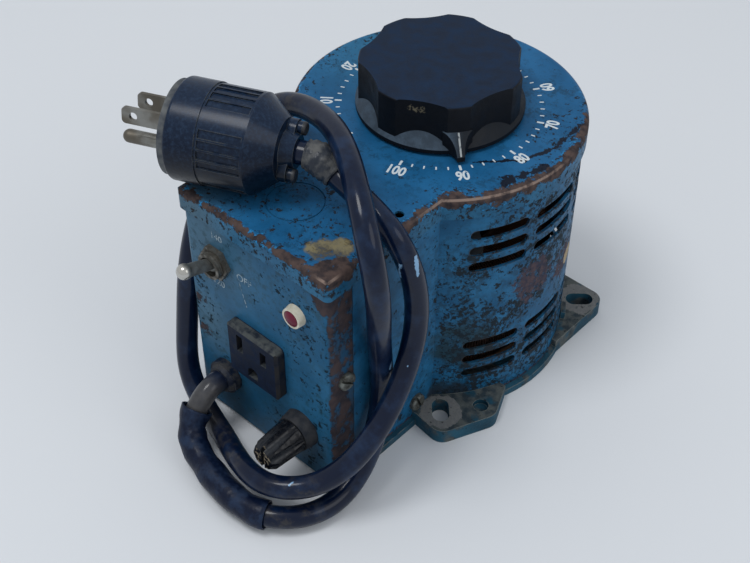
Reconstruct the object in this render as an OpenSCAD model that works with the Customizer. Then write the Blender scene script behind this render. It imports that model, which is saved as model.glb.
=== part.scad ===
// Bench-top variable autotransformer: a vented round drum with a terminal box on its front.
// A dial knob on top turns the brush; switch, lamp, outlet, fuse and cord are on the box.
// Origin on the drum's axis, on the surface that the base stands on. Front panel faces -Y.

/* [Case] */
// Outer radius of the drum's sheet wall
drum_r = 57.2; // [52:0.2:64]
// Outside width of the terminal box
box_w = 74.8; // [70:0.2:80]
// Drum axis to the outer face of the front panel
front_y = 102.4; // [98:0.2:112]
// Height from the base's underside to the top of the cap
case_h = 112.6; // [106:0.2:130]
// Thickness of the wall's and panel's sheet steel
sheet_t = 1.2; // [0.8:0.1:1.6]
// Length of the panel's side flanges
flange_w = 12; // [9:0.5:16]
// Outer radius of the panel's two bends
panel_bend_r = 3; // [2:0.5:5]
// Height of the panel's lower edge above the surface
panel_lift = 2.5; // [1:0.5:4]

/* [Cap] */
// Thickness of the cap's sheet steel
cap_t = 0.9; // [0.8:0.1:1.6]
// Room between the cap's skirt and the walls
cap_clear = 0.2; // [0.1:0.1:0.5]
// Height of the cap's skirt
cap_skirt = 9.4; // [6:0.2:12]
// Radius of the cap's drawn edge
cap_edge_r = 2.4; // [2:0.1:3.5]

/* [Vents] */
// Length of one vent slot, end to end
vent_len = 24.5; // [18:0.5:26]
// Height of one vent slot
vent_h = 4.8; // [2.5:0.1:5]
// Height between the slots of a group
vent_step = 8; // [6:0.5:10]
// Metal between the ends of neighbouring slots
vent_web = 3.9; // [3:0.1:8]
// Middle of the lower row above the base
vent_low = 20.3; // [18:0.1:26]
// Middle of the upper row below the top
vent_high = 27.3; // [25:0.1:32]

/* [Base] */
// Thickness of the base casting
base_t = 6; // [5:0.5:8]
// Reach of the base's rim beyond the drum
base_rim = 2.6; // [2:0.2:6]
// Height of the base's rim, which the drum wall stands on
base_rim_t = 3.4; // [3:0.2:4.6]
// Reach of the base beyond the box sides
base_side = 2.2; // [1:0.2:3.6]
// Thickness of the mounting lugs
lug_t = 7; // [6:0.5:9]
// Drum wall to the middle of the mounting slots
lug_out = 8.8; // [8:0.2:11]
// Width of the mounting slots
lug_slot_w = 7; // [5:0.1:8]
// Radial length of a mounting slot, end to end
lug_slot_len = 12; // [10:0.5:13]
// Depth of the hollow under the base
hollow_d = 2.5; // [1:0.5:3]

/* [Coil] */
// Air between the winding and the drum wall
coil_gap = 7; // [4:0.5:9]
// Radial width of the wound ring
coil_w = 23; // [16:0.5:26]
// Height of the wound ring
coil_h = 52; // [40:1:56]
// Height of the insulating seat under the winding
seat_h = 6; // [4:0.5:9]
// Diameter of the dial shaft
shaft_d = 8; // [6:0.1:10]
// Running clearance of the shaft in its bearings
run_clear = 0.05; // [0.02:0.01:0.1]

/* [Knob] */
// Greatest radius of the knob's lobes
knob_r = 32; // [28:0.5:36]
// Height of the knob
knob_h = 20; // [16:0.5:26]
// Gap between the knob and the cap
knob_gap = 1.4; // [1.2:0.1:3]
// Lobes round the knob
knob_lobes = 7; // [5:1:10]
// Depth of the finger scallops
knob_scallop = 3; // [1:0.2:4]
// Reach of the pointer from the axis
pointer_r = 38.4; // [36:0.2:41]
// Direction of the pointer at rest
pointer_deg = -38; // [-70:1:70]

/* [Panel] */
// Sideways place of the switch and the cord gland
left_x = -20; // [-24:0.5:-18]
// Sideways place of the lamp and the fuse
right_x = 21.5; // [19:0.5:25]
// Top of the cap down to the switch and lamp
upper_down = 26.4; // [22:0.2:30]
// Top of the base up to the gland and fuse
lower_up = 18.8; // [17:0.2:22]
// Gland and fuse up to the outlet's middle
outlet_up = 24.7; // [24:0.1:30]
// Width of the outlet's flange
outlet_w = 27.4; // [25:0.2:30]
// Height of the outlet's flange
outlet_h = 26; // [25:0.2:30]
// How far the outlet stands off the panel
outlet_proud = 4.5; // [3:0.1:6]
// Diameter of the switch bushing
bushing_d = 11; // [10.6:0.1:12]
// How far the bushing stands off the panel
bushing_proud = 4.6; // [4:0.1:7]
// Reach of the switch lever from the panel
lever_reach = 18.5; // [16:0.5:22]
// Tilt of the lever to either side of the middle
lever_tilt = 20; // [10:1:20]
// Diameter of the lamp's bezel
lamp_d = 9.2; // [8.8:0.2:13]
// Diameter of the fuse post's collar
fuse_d = 17; // [15:0.1:18]
// How far the fuse post stands off the panel, cap included
fuse_proud = 21.5; // [18:0.5:24]
// Diameter of the gland's flange
gland_d = 15; // [14:0.2:17]
// How far the gland stands off the panel
gland_proud = 5; // [4:0.1:6]

/* [Cord and plug] */
// Diameter of the cord
cord_d = 9; // [7:0.1:9.4]
// Diameter of the sleeve over the first stretch of cord
sleeve_d = 13; // [10:0.1:13]
// Diameter of the plug
plug_d = 38; // [34:0.2:38]
// Length of the plug's smooth front collar
plug_collar = 12; // [10:0.5:16]
// Length of the plug's ribbed grip
plug_grip = 18; // [14:0.5:22]
// Length of the plug's chamfered rear
plug_taper = 9; // [6:0.5:12]
// Length of the plug's blades
blade_len = 18.5; // [15:0.5:18.5]
// Heading of the blades, turned from +X
plug_deg = 204; // [198:0.5:210]
// Roll of the plug about its own axis
plug_roll = 11; // [-30:1:30]

/* [Hidden] */
$fn = 64;

eps = 0.01;
box_half = box_w / 2;
cap_under = case_h - cap_t;
// Walls end where the cap's inner edge starts to round
wall_top = case_h - cap_edge_r;
// Wall sheet starts behind the panel's flange, with a thin seam
seam = 0.3;
wall_front = front_y - flange_w - seam;
// Inner lip of the wall that the panel's flange is screwed to
lip_reach = 6;
// Angle between vent groups, and how many groups fit between the box's sides
vent_pitch = 2 * asin((vent_len + vent_web) / 2 / drum_r);
vent_groups = floor((360 - 2 * asin(box_half / drum_r)) / vent_pitch);

// Round knock-out scored in the cap over the box, and two screw holes beside the drum
knockout_r = 11;
knockout_y = 80;
score_w = 0.5;
score_d = 0.35;
cap_hole_d = 3.6;
cap_hole_in = 5.3;
cap_hole_y = 60;

// Heights of the panel's fittings
upper_z = case_h - upper_down;
lower_z = base_t + lower_up;
outlet_z = lower_z + outlet_up;

base_r = drum_r + base_rim;
base_half = box_half + base_side;
base_w = 2 * base_half;
base_front = front_y - sheet_t;
hollow_rim = 6;
hub_r = 14;
hub_h = 26;
rib_w = 4;
lug_r = drum_r + lug_out;
front_slot_deg = 46;
dimple_deg = 31.3;
dimple_d = 6.5;
dimple_depth = 2.5;
rear_slot_deg = 42;
// Outline of the lugs: metal round the slots, roots on the drum and corner radii
lug_pad = 7.8;
lug_fore = 10;
lug_lead = 1.4;
lug_root = 19;
lug_corner_r = 6;
lug_nose_r = 6;
rear_pad = 6.5;
rear_side = 0.2;
rear_root = 16;
rear_corner_r = 6;
// Upright tabs beside the rear slots that hold the drum wall
tab_t = 2;
tab_w = 7;
tab_h = 4;
tab_turn = 9;

shaft_r = shaft_d / 2;
coil_z = base_t + seat_h;
coil_r = drum_r - sheet_t - coil_gap;
coil_round = 5;
coil_top = coil_z + coil_h;
seat_in = coil_r - coil_w + 3;
seat_out = coil_r - 4;

// Bearing bush in the cap, with a flange above and a nut below
bush_r = shaft_r + 2.5;
bush_flange_r = shaft_r + 6;
bush_flange_t = 0.8;
bush_nut_r = shaft_r + 5;
bush_nut_t = 4;
shaft_floor = 3;
shaft_end = 0.3;

// Brush arm on the shaft, carrying a carbon brush on the winding's top
brush_air = 0.3;
brush_h = 9;
brush_w = 6;
brush_r = coil_r - coil_w / 2;
brush_len = 14;
arm_z = coil_top + brush_air + brush_h - 4;
arm_t = 3;
arm_w = 22;
arm_hub_r = shaft_r + 7;
arm_hub_h = 14;

knob_z = case_h + knob_gap;
knob_top = knob_z + knob_h;
scallop_r = 36;
knob_skirt_r = knob_r + 1.2;
knob_skirt_h = 8;
knob_skirt_edge = 1.6;
knob_edge_r = 1;
knob_wall = 5;
knob_hollow_h = 5;
knob_roof = 5;
shaft_room = 1;
// Pointer: a wedge that slopes from a lobe's face to a narrow tip, its sides hollowed
pointer_half = 5.7;
pointer_tip_half = 1.5;
pointer_flare_r = 8;
pointer_top = 9;
pointer_tip_h = 2;

outlet_bevel = 1.2;
outlet_corner_r = 2.5;
outlet_body_w = 23;
outlet_body_h = 22;
outlet_depth = 20;
blade_gap = 12.7;
slot_up = 5.2;
slot_w = 3.2;
long_slot = 8.6;
short_slot = 7;
ground_d = 5.4;
ground_down = 6.8;
socket_depth = 16;

part_clear = 0.15;
nut_af = 12.9;
nut_t = 2.2;
switch_w = 13;
switch_h = 25;
switch_depth = 18;
pivot_proud = 1;
lever_ball_r = 3.6;
lever_neck_r = 2.3;
lever_tip_r = 3.1;
lever_bore_r = bushing_d / 2 - 1.4;

lamp_proud = 3;
lens_d = lamp_d - 2.4;
lens_dome = 1;
lamp_stem_d = lamp_d - 3;
lamp_depth = 14;

fuse_collar_h = 5.5;
fuse_cap_gap = 0.4;
fuse_cap_r = fuse_d / 2 - 1.2;
fuse_flutes = 8;
fuse_flute_r = 2.6;
fuse_flute_in = 1.5;
fuse_flute_lean = 9;
fuse_nose_h = 2.4;
fuse_nose_in = 1.6;
fuse_taper = 0.8;
fuse_slot_w = 1.6;
fuse_slot_d = 1.5;
fuse_body_d = fuse_d - 4;
fuse_depth = 24;

gland_flange_t = 3.2;
gland_nose_r = cord_d / 2 + 1.2;
gland_shoulder = 0.8;
gland_stem_d = gland_d - 3.4;
gland_depth = 6;

// Plug: rear end of its axis, resting on the cap
plug_r = plug_d / 2;
plug_rear = [-6.4, -77.7, case_h + plug_r];
plug_dir = [cos(plug_deg), sin(plug_deg), 0];
plug_face_t = 2.4;
plug_face_r = plug_r - 1.4;
plug_len = plug_taper + plug_grip + plug_collar + plug_face_t;
plug_edge_r = 1.2;
plug_tail_r = cord_d / 2 + 7;
// Grip: groups of grooves between plain faces, a hair below the collar
grip_step = 0.4;
grip_groups = 5;
grip_cuts = 4;
grip_pitch = 12;
grip_turn = 26;
grip_cut_w = 3.1;
grip_depth = 0.7;
grip_end = 0.9;
blade_w = 6.35;
blade_t = 1.5;
blade_hole_d = 3.2;
blade_hole_in = 4.5;
blade_tip = 1.6;
blade_up = 4;
pin_d = 5.2;
pin_down = 7.9;
pin_extra = 3.2;
// Clamp: a bar across the cord with a screw at each end
clamp_len = 5;
clamp_wall = 1.6;
clamp_bar_t = 3.2;
clamp_bar_w = 8;
clamp_turn = 34;
clamp_screw_d = 5;
clamp_screw_in = 3;
clamp_lead = 8;

// Route of the cord from the gland's mouth to the plug's rear: two loose turns round the box
ROUTE = [
    [left_x, -front_y - gland_proud, lower_z],
    [-20, -114, 24.8], [-20, -121, 19], [-18.5, -126, 12.5], [-13, -129.5, 7.4], [0, -133, 6.8],
    [16, -136, 6.8], [32, -134, 6.8], [43.5, -122, 6], [46.5, -105.5, 5.2], [45, -89, 16],
    [42.3, -79, 35], [42.3, -80, 57], [46, -86, 80], [51, -91, 104], [47, -92, 127],
    [30, -80, 138], [8, -64, 138], [-14, -54, 132], [-36, -52, 126], [-46.5, -67, 112],
    [-48, -84, 90], [-45.4, -97, 66], [-43.4, -102, 40], [-41, -108, 17], [-28, -111, 6],
    [-8, -117, 7], [10, -126.5, 15.5], [28, -130, 18.5], [42, -119, 19], [51, -106, 29],
    [53.5, -91.5, 43], [52.4, -77.7, 58.7], [50, -69, 76], [49.5, -70, 98], [45, -75, 119],
    [29, -73, 124], [14, -71, 125],
    plug_rear - (clamp_len + clamp_lead) * plug_dir,
    plug_rear - clamp_len * plug_dir
];
// Rings of the tube on each step of the route, and the steps that the sleeve covers
cord_rings = 2;
cord_sides = 10;
sleeve_from = 2;
sleeve_to = 7;

// Rounds the corners of an outline: each corner is [x, y, radius]
function unit(v) = v / norm(v);
function corner_arc(a, b, c, steps = 8) =
    let (u = unit([a.x - b.x, a.y - b.y]), w = unit([c.x - b.x, c.y - b.y]),
         half = acos(u * w) / 2, mid = unit(u + w), centre = [b.x, b.y] + mid * b.z / sin(half),
         side = u.x * w.y - u.y * w.x > 0 ? 1 : -1, sweep = 180 - 2 * half,
         start = atan2(-mid.y, -mid.x) + side * sweep / 2)
    b.z == 0 ? [[b.x, b.y]]
    : [for (k = [0 : steps]) let (t = start - side * sweep * k / steps) centre + b.z * [cos(t), sin(t)]];
function rounded(p) =
    [for (i = [0 : len(p) - 1]) each corner_arc(p[(i + len(p) - 1) % len(p)], p[i], p[(i + 1) % len(p)])];

// Points of a uniform cubic spline along the route, ends held on the first and last point
function spline_point(p, i, t) =
    (pow(1 - t, 3) * p[i] + (3 * pow(t, 3) - 6 * t * t + 4) * p[i + 1]
     + (-3 * pow(t, 3) + 3 * t * t + 3 * t + 1) * p[i + 2] + pow(t, 3) * p[i + 3]) / 6;
function spline(p, n) =
    let (q = concat([2 * p[0] - p[1]], p, [2 * p[len(p) - 1] - p[len(p) - 2]]))
    [for (i = [0 : len(p) - 2], k = [0 : n - 1]) spline_point(q, i, k / n), p[len(p) - 1]];
// Direction of the curve at each point; at its ends it follows the route, square to what it meets
function tangents(c, p) =
    [for (i = [0 : len(c) - 1])
        i == 0 ? unit(p[1] - p[0])
        : i == len(c) - 1 ? unit(p[len(p) - 1] - p[len(p) - 2])
        : unit(c[i + 1] - c[i - 1])];
// Carries a side direction along the curve without twist
function carry(t, i = 0, side = [1, 0, 0]) =
    i == len(t) ? []
    : let (s = unit(side - (side * t[i]) * t[i])) concat([s], carry(t, i + 1, s));

module at_panel(x, z) {
    // Local +Z points out of the panel, local +Y stays up
    translate([x, -front_y, z]) rotate([90, 0, 0]) children();
}

module mirrored_pair() {
    children();
    mirror([1, 0, 0]) children();
}

module base_plan() {
    circle(r = base_r, $fn = 128);
    translate([-base_half, -base_front]) square([base_w, base_front]);
}

module floor_plan() {
    // Raised floor that fits inside the wall, its lips and the panel
    circle(r = drum_r - sheet_t - part_clear, $fn = 128);
    inside = box_half - 2 * sheet_t - part_clear;
    translate([-inside, part_clear - base_front]) square([2 * inside, base_front - part_clear]);
}

module hollow_plan() {
    difference() {
        union() {
            circle(r = base_r - hollow_rim);
            translate([hollow_rim - base_half, hollow_rim - base_front])
                square([base_w - 2 * hollow_rim, base_front - hollow_rim]);
        }
        circle(r = hub_r);
        for (a = [45, 135]) rotate(a) square([2 * base_r, rib_w], center = true);
        translate([0, -base_front / 2]) square([rib_w, base_front], center = true);
        translate([0, -lug_r]) square([base_w, rib_w], center = true);
    }
}

module front_lug_plan() {
    slot = lug_r * [cos(front_slot_deg), -sin(front_slot_deg)];
    dimple = lug_r * [cos(dimple_deg), -sin(dimple_deg)];
    polygon(rounded([[0, lug_lead - drum_r, 0], [base_half, lug_lead - drum_r, 0],
        [slot.x + lug_pad, slot.y - lug_fore, lug_corner_r], [dimple.x + lug_pad, dimple.y, lug_nose_r],
        [drum_r, -lug_root, 0], [0, -lug_root, 0]]));
}

module rear_lug_plan() {
    side = drum_r + rear_side;
    tip = (lug_r + lug_slot_len / 2 + rear_pad) * sin(rear_slot_deg);
    polygon(rounded([[0, rear_root, 0], [side, rear_root, 0], [side, tip, rear_corner_r], [0, tip, 0]]));
}

module lug_cuts() {
    for (a = [-front_slot_deg, rear_slot_deg]) rotate(a) translate([lug_r, 0, -1])
        linear_extrude(lug_t + 2) slot_plan(lug_slot_len, lug_slot_w);
    rotate(-dimple_deg) translate([lug_r, 0, lug_t - dimple_depth])
        cylinder(h = dimple_depth + 1, d = dimple_d);
}

module slot_plan(length, width) {
    square([length - width, width], center = true);
    for (s = [-1, 1]) translate([s * (length - width) / 2, 0]) circle(d = width);
}

module base_casting() {
    color("slategray") difference() {
        union() {
            linear_extrude(base_rim_t) base_plan();
            linear_extrude(base_t) floor_plan();
            mirrored_pair() linear_extrude(lug_t) difference() {
                union() {
                    front_lug_plan();
                    rear_lug_plan();
                }
                circle(r = drum_r + part_clear, $fn = 128);
                translate([-box_half - part_clear, -front_y]) square([box_w + 2 * part_clear, front_y]);
            }
            mirrored_pair() rotate(rear_slot_deg - tab_turn) translate([drum_r + seam, -tab_w / 2, lug_t / 2])
                cube([tab_t, tab_w, tab_h + lug_t / 2]);
            cylinder(h = base_t + hub_h, r = hub_r);
        }
        mirrored_pair() lug_cuts();
        translate([0, 0, -1]) linear_extrude(hollow_d + 1) hollow_plan();
        translate([0, 0, shaft_floor]) cylinder(h = base_t + hub_h, r = shaft_r + run_clear);
    }
}

module wall_plan() {
    difference() {
        union() {
            circle(r = drum_r, $fn = 128);
            translate([-box_half, -wall_front]) square([box_w, wall_front]);
        }
        circle(r = drum_r - sheet_t, $fn = 128);
        translate([sheet_t - box_half, -wall_front - 1]) square([box_w - 2 * sheet_t, wall_front + 1]);
    }
    for (s = [-1, 1]) translate([s * (box_half - 1.5 * sheet_t), -wall_front - seam])
        square([sheet_t, 2 * lip_reach + 2 * seam], center = true);
}

module vent_group() {
    for (k = [-1 : 1]) translate([0, k * vent_step]) slot_plan(vent_len, vent_h);
}

module drum_wall() {
    color("steelblue") difference() {
        translate([0, 0, base_rim_t]) linear_extrude(wall_top - base_rim_t) wall_plan();
        for (g = [0 : vent_groups - 1], z = [base_t + vent_low, case_h - vent_high])
            rotate(180 + (g - (vent_groups - 1) / 2) * vent_pitch) translate([0, 0, z]) rotate([90, 0, 0])
                translate([0, 0, drum_r - 3 * sheet_t - vent_len / 8])
                    linear_extrude(vent_len / 2) vent_group();
    }
}

module round_top(width, height, r) {
    // Upright section with its two top corners rounded, centred on X
    translate([-width / 2, 0]) square([width, height - r]);
    translate([r - width / 2, 0]) square([width - 2 * r, height]);
    for (s = [-1, 1]) translate([s * (width / 2 - r), height - r]) circle(r = r, $fn = 32);
}

module cap_form(out, height, r) {
    // Drum and box as one drawn form, grown outwards from the walls
    reach = front_y + out;
    wide = box_w + 2 * out;
    rotate_extrude($fn = 128) intersection() {
        round_top(2 * (drum_r + out), height, r);
        square([2 * drum_r + 2 * out, height]);
    }
    intersection() {
        rotate([90, 0, 0]) linear_extrude(reach) round_top(wide, height, r);
        rotate([90, 0, 90]) linear_extrude(wide, center = true) round_top(2 * reach, height, r);
        linear_extrude(height) rotate(180) round_top(wide, reach, r);
    }
}

module top_cap() {
    color("steelblue") difference() {
        translate([0, 0, case_h - cap_skirt]) cap_form(cap_clear + cap_t, cap_skirt, cap_edge_r);
        translate([0, 0, case_h - cap_skirt - eps])
            cap_form(cap_clear, cap_skirt - cap_t + eps, cap_edge_r - cap_t);
        translate([0, 0, case_h - cap_skirt]) cylinder(h = cap_skirt + 1, r = bush_r + part_clear);
        translate([0, -knockout_y, case_h - score_d]) linear_extrude(1) difference() {
            circle(r = knockout_r);
            circle(r = knockout_r - score_w);
        }
        mirrored_pair() translate([box_half - cap_hole_in, -cap_hole_y, case_h - cap_skirt])
            cylinder(h = cap_skirt + 1, d = cap_hole_d);
    }
}

module panel_plan() {
    // Sheet bent into a shallow U, open to the rear
    difference() {
        rotate(180) translate([0, front_y - flange_w]) round_top(box_w, flange_w, panel_bend_r);
        rotate(180) translate([0, front_y - flange_w - 1])
            round_top(box_w - 2 * sheet_t, flange_w + 1 - sheet_t, panel_bend_r - sheet_t);
    }
}

module front_panel() {
    apron_w = box_w - 2 * panel_bend_r;
    color("steelblue") difference() {
        union() {
            translate([0, 0, base_rim_t]) linear_extrude(wall_top - base_rim_t) panel_plan();
            translate([-apron_w / 2, -front_y, panel_lift]) cube([apron_w, sheet_t, base_t - panel_lift + 1]);
        }
        at_panel(left_x, upper_z) cylinder(h = 4 * sheet_t, d = bushing_d + 2 * part_clear, center = true);
        at_panel(right_x, upper_z) cylinder(h = 4 * sheet_t, d = lamp_stem_d + 2 * part_clear, center = true);
        at_panel(left_x, lower_z) cylinder(h = 4 * sheet_t, d = gland_stem_d + 2 * part_clear, center = true);
        at_panel(right_x, lower_z) cylinder(h = 4 * sheet_t, d = fuse_body_d + 2 * part_clear, center = true);
        at_panel(0, outlet_z)
            cube([outlet_body_w + 2 * part_clear, outlet_body_h + 2 * part_clear, 4 * sheet_t],
                center = true);
    }
}

module coil_seat() {
    color("saddlebrown") translate([0, 0, base_t]) difference() {
        cylinder(h = seat_h, r = seat_out);
        translate([0, 0, -1]) cylinder(h = seat_h + 2, r = seat_in);
    }
}

module coil() {
    color("peru") translate([0, 0, coil_z]) rotate_extrude($fn = 128)
        translate([coil_r - coil_w, 0]) {
            translate([coil_round, 0]) square([coil_w - 2 * coil_round, coil_h]);
            translate([0, coil_round]) square([coil_w, coil_h - 2 * coil_round]);
            for (x = [coil_round, coil_w - coil_round], y = [coil_round, coil_h - coil_round])
                translate([x, y]) circle(r = coil_round, $fn = 32);
        }
}

module shaft_bearing() {
    color("goldenrod") difference() {
        union() {
            translate([0, 0, cap_under - bush_nut_t]) cylinder(h = bush_nut_t, r = bush_nut_r, $fn = 6);
            translate([0, 0, cap_under - eps]) cylinder(h = cap_t + 2 * eps, r = bush_r);
            translate([0, 0, case_h]) cylinder(h = bush_flange_t, r = bush_flange_r);
        }
        translate([0, 0, cap_under - bush_nut_t - 1])
            cylinder(h = bush_nut_t + cap_t + bush_flange_t + 2, r = shaft_r + run_clear);
    }
}

module shaft() {
    foot = shaft_floor + shaft_end;
    color("silver") translate([0, 0, foot])
        cylinder(h = knob_top - knob_roof - shaft_room - foot, r = shaft_r);
}

module brush_arm() {
    color("lightgray") rotate(pointer_deg) difference() {
        union() {
            translate([0, 0, arm_z]) cylinder(h = arm_hub_h, r = arm_hub_r);
            translate([0, -arm_w / 2, arm_z]) cube([brush_r, arm_w, arm_t]);
            translate([brush_r, 0, arm_z]) cylinder(h = arm_t, d = arm_w);
        }
        translate([0, 0, arm_z - 1]) cylinder(h = arm_hub_h + 2, r = shaft_r + run_clear);
        translate([brush_r, 0, arm_z + arm_t / 2])
            cube([brush_w + 2 * part_clear, brush_len + 2 * part_clear, arm_t + 2], center = true);
    }
}

module brush() {
    color("dimgray") rotate(pointer_deg) translate([brush_r, 0, coil_top + brush_air + brush_h / 2])
        cube([brush_w, brush_len, brush_h], center = true);
}

module knob_profile() {
    // Half section of the knob: rounded top edge
    translate([0, knob_hollow_h]) square([knob_r - knob_edge_r, knob_h - knob_hollow_h]);
    square([knob_r, knob_h - knob_edge_r]);
    translate([knob_r - knob_edge_r, knob_h - knob_edge_r]) circle(r = knob_edge_r, $fn = 32);
}

module knob() {
    away = knob_r - knob_scallop + scallop_r;
    color([0.09, 0.1, 0.14]) translate([0, 0, knob_z]) rotate(pointer_deg) difference() {
        union() {
            difference() {
                rotate_extrude($fn = 128) knob_profile();
                for (k = [0 : knob_lobes - 1]) rotate((k + 0.5) * 360 / knob_lobes) translate([away, 0, -1])
                    cylinder(h = knob_h + 2, r = scallop_r, $fn = 128);
            }
            cylinder(h = knob_skirt_edge, r = knob_skirt_r, $fn = 128);
            translate([0, 0, knob_skirt_edge])
                cylinder(h = knob_skirt_h - knob_skirt_edge, r1 = knob_skirt_r,
                    r2 = knob_r - knob_scallop - 1, $fn = 128);
            pointer();
        }
        translate([0, 0, -1]) cylinder(h = knob_hollow_h + 1, r = knob_r - knob_scallop - knob_wall);
        translate([0, 0, -1]) cylinder(h = knob_h - knob_roof + 1, r = shaft_r + run_clear);
    }
}

module pointer() {
    intersection() {
        linear_extrude(pointer_top) difference() {
            translate([0, -pointer_half]) square([pointer_r, 2 * pointer_half]);
            for (s = [-1, 1]) translate([pointer_r, s * (pointer_tip_half + pointer_flare_r)])
                circle(r = pointer_flare_r);
        }
        rotate_extrude($fn = 128) polygon([[0, 0], [pointer_r, 0], [pointer_r, pointer_tip_h],
            [knob_r, pointer_top], [0, pointer_top]]);
    }
}

module switch_body() {
    color("dimgray") at_panel(left_x, upper_z) difference() {
        union() {
            translate([-switch_w / 2, -switch_h / 2, -sheet_t - switch_depth])
                cube([switch_w, switch_h, switch_depth]);
            translate([0, 0, -sheet_t - eps]) cylinder(h = sheet_t + bushing_proud + eps, d = bushing_d);
        }
        translate([0, 0, pivot_proud - lever_ball_r - 1])
            cylinder(h = bushing_proud + lever_ball_r + 2, r = lever_bore_r);
    }
}

module switch_nut() {
    color("darkkhaki") at_panel(left_x, upper_z) difference() {
        cylinder(h = nut_t, d = nut_af / cos(30), $fn = 6);
        translate([0, 0, -1]) cylinder(h = nut_t + 2, d = bushing_d + 2 * part_clear);
    }
}

module switch_lever() {
    bat = (lever_reach - pivot_proud) / cos(lever_tilt) - lever_tip_r;
    color("silver") at_panel(left_x, upper_z) translate([0, 0, pivot_proud]) rotate([-lever_tilt, 0, 0]) {
        sphere(r = lever_ball_r);
        cylinder(h = bat, r1 = lever_neck_r, r2 = lever_tip_r * 0.85);
        translate([0, 0, bat]) sphere(r = lever_tip_r);
    }
}

module lamp_bezel() {
    color("ivory") at_panel(right_x, upper_z) difference() {
        union() {
            cylinder(h = lamp_proud, d1 = lamp_d, d2 = lamp_d - 0.8);
            translate([0, 0, -sheet_t - lamp_depth]) cylinder(h = sheet_t + lamp_depth + 1, d = lamp_stem_d);
        }
        translate([0, 0, lamp_proud - 2]) cylinder(h = 3, d = lens_d);
    }
}

module lamp_lens() {
    dome_r = (pow(lens_d / 2, 2) + lens_dome * lens_dome) / (2 * lens_dome);
    color("darkred") at_panel(right_x, upper_z) translate([0, 0, lamp_proud - 2]) {
        cylinder(h = 2 - eps, d = lens_d - 2 * part_clear);
        intersection() {
            translate([0, 0, 2 + lens_dome - dome_r]) sphere(r = dome_r, $fn = 96);
            translate([0, 0, 1]) cylinder(h = 3, d = lens_d - 2 * part_clear);
        }
    }
}

module bevelled(width, depth, bevel) {
    // Section that narrows to its face
    polygon([[-width / 2, 0], [width / 2, 0], [width / 2, depth - bevel], [width / 2 - bevel, depth],
        [bevel - width / 2, depth], [-width / 2, depth - bevel]]);
}

module outlet() {
    color([0.14, 0.12, 0.12]) at_panel(0, outlet_z) difference() {
        union() {
            intersection() {
                rotate([90, 0, 0]) linear_extrude(outlet_h, center = true)
                    bevelled(outlet_w, outlet_proud, outlet_bevel);
                rotate([90, 0, 90]) linear_extrude(outlet_w, center = true)
                    bevelled(outlet_h, outlet_proud, outlet_bevel);
                linear_extrude(outlet_proud) polygon(rounded([for (c = [[-1, -1], [1, -1], [1, 1], [-1, 1]])
                    [c.x * outlet_w / 2, c.y * outlet_h / 2, outlet_corner_r]]));
            }
            translate([0, 0, -sheet_t - outlet_depth / 2 + 0.5])
                cube([outlet_body_w, outlet_body_h, outlet_depth + 1 + 2 * sheet_t], center = true);
        }
        for (s = [-1, 1]) translate([s * blade_gap / 2, slot_up, outlet_proud - socket_depth / 2 + 1])
            cube([slot_w, s < 0 ? long_slot : short_slot, socket_depth + 2], center = true);
        translate([0, -ground_down, outlet_proud - socket_depth]) linear_extrude(socket_depth + 1) {
            circle(d = ground_d);
            translate([-ground_d / 2, -ground_d / 2]) square([ground_d, ground_d / 2]);
        }
    }
}

module fuse_post() {
    color([0.2, 0.18, 0.17]) at_panel(right_x, lower_z) {
        cylinder(h = fuse_collar_h, d1 = fuse_d, d2 = fuse_d - 1.6);
        translate([0, 0, -sheet_t - fuse_depth]) cylinder(h = sheet_t + fuse_depth + 1, d = fuse_body_d);
    }
}

module fuse_cap() {
    grip = fuse_proud - fuse_collar_h - fuse_cap_gap - fuse_nose_h;
    color([0.07, 0.07, 0.09]) at_panel(right_x, lower_z) translate([0, 0, fuse_collar_h + fuse_cap_gap])
        difference() {
            union() {
                cylinder(h = grip, r1 = fuse_cap_r, r2 = fuse_cap_r - fuse_taper);
                translate([0, 0, grip]) cylinder(h = fuse_nose_h, r1 = fuse_cap_r - fuse_taper,
                    r2 = fuse_cap_r - fuse_taper - fuse_nose_in);
            }
            // Flutes lean outwards to the rear, so they run out before the collar
            for (k = [0 : fuse_flutes - 1]) rotate((k + 0.5) * 360 / fuse_flutes)
                translate([fuse_cap_r - fuse_taper + fuse_flute_r - fuse_flute_in, 0, grip])
                    rotate([0, -fuse_flute_lean, 0]) cylinder(h = 2 * grip, r = fuse_flute_r, center = true);
            translate([0, 0, grip + fuse_nose_h])
                cube([fuse_slot_w, 2 * fuse_cap_r, 2 * fuse_slot_d], center = true);
        }
}

module cord_gland() {
    color([0.12, 0.12, 0.15]) at_panel(left_x, lower_z) {
        cylinder(h = gland_flange_t, d = gland_d);
        translate([0, 0, gland_flange_t]) cylinder(h = gland_proud - gland_flange_t,
            r1 = gland_d / 2 - gland_shoulder, r2 = gland_nose_r);
        translate([0, 0, -sheet_t - gland_depth]) cylinder(h = sheet_t + gland_depth + 1, d = gland_stem_d);
    }
}

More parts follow.
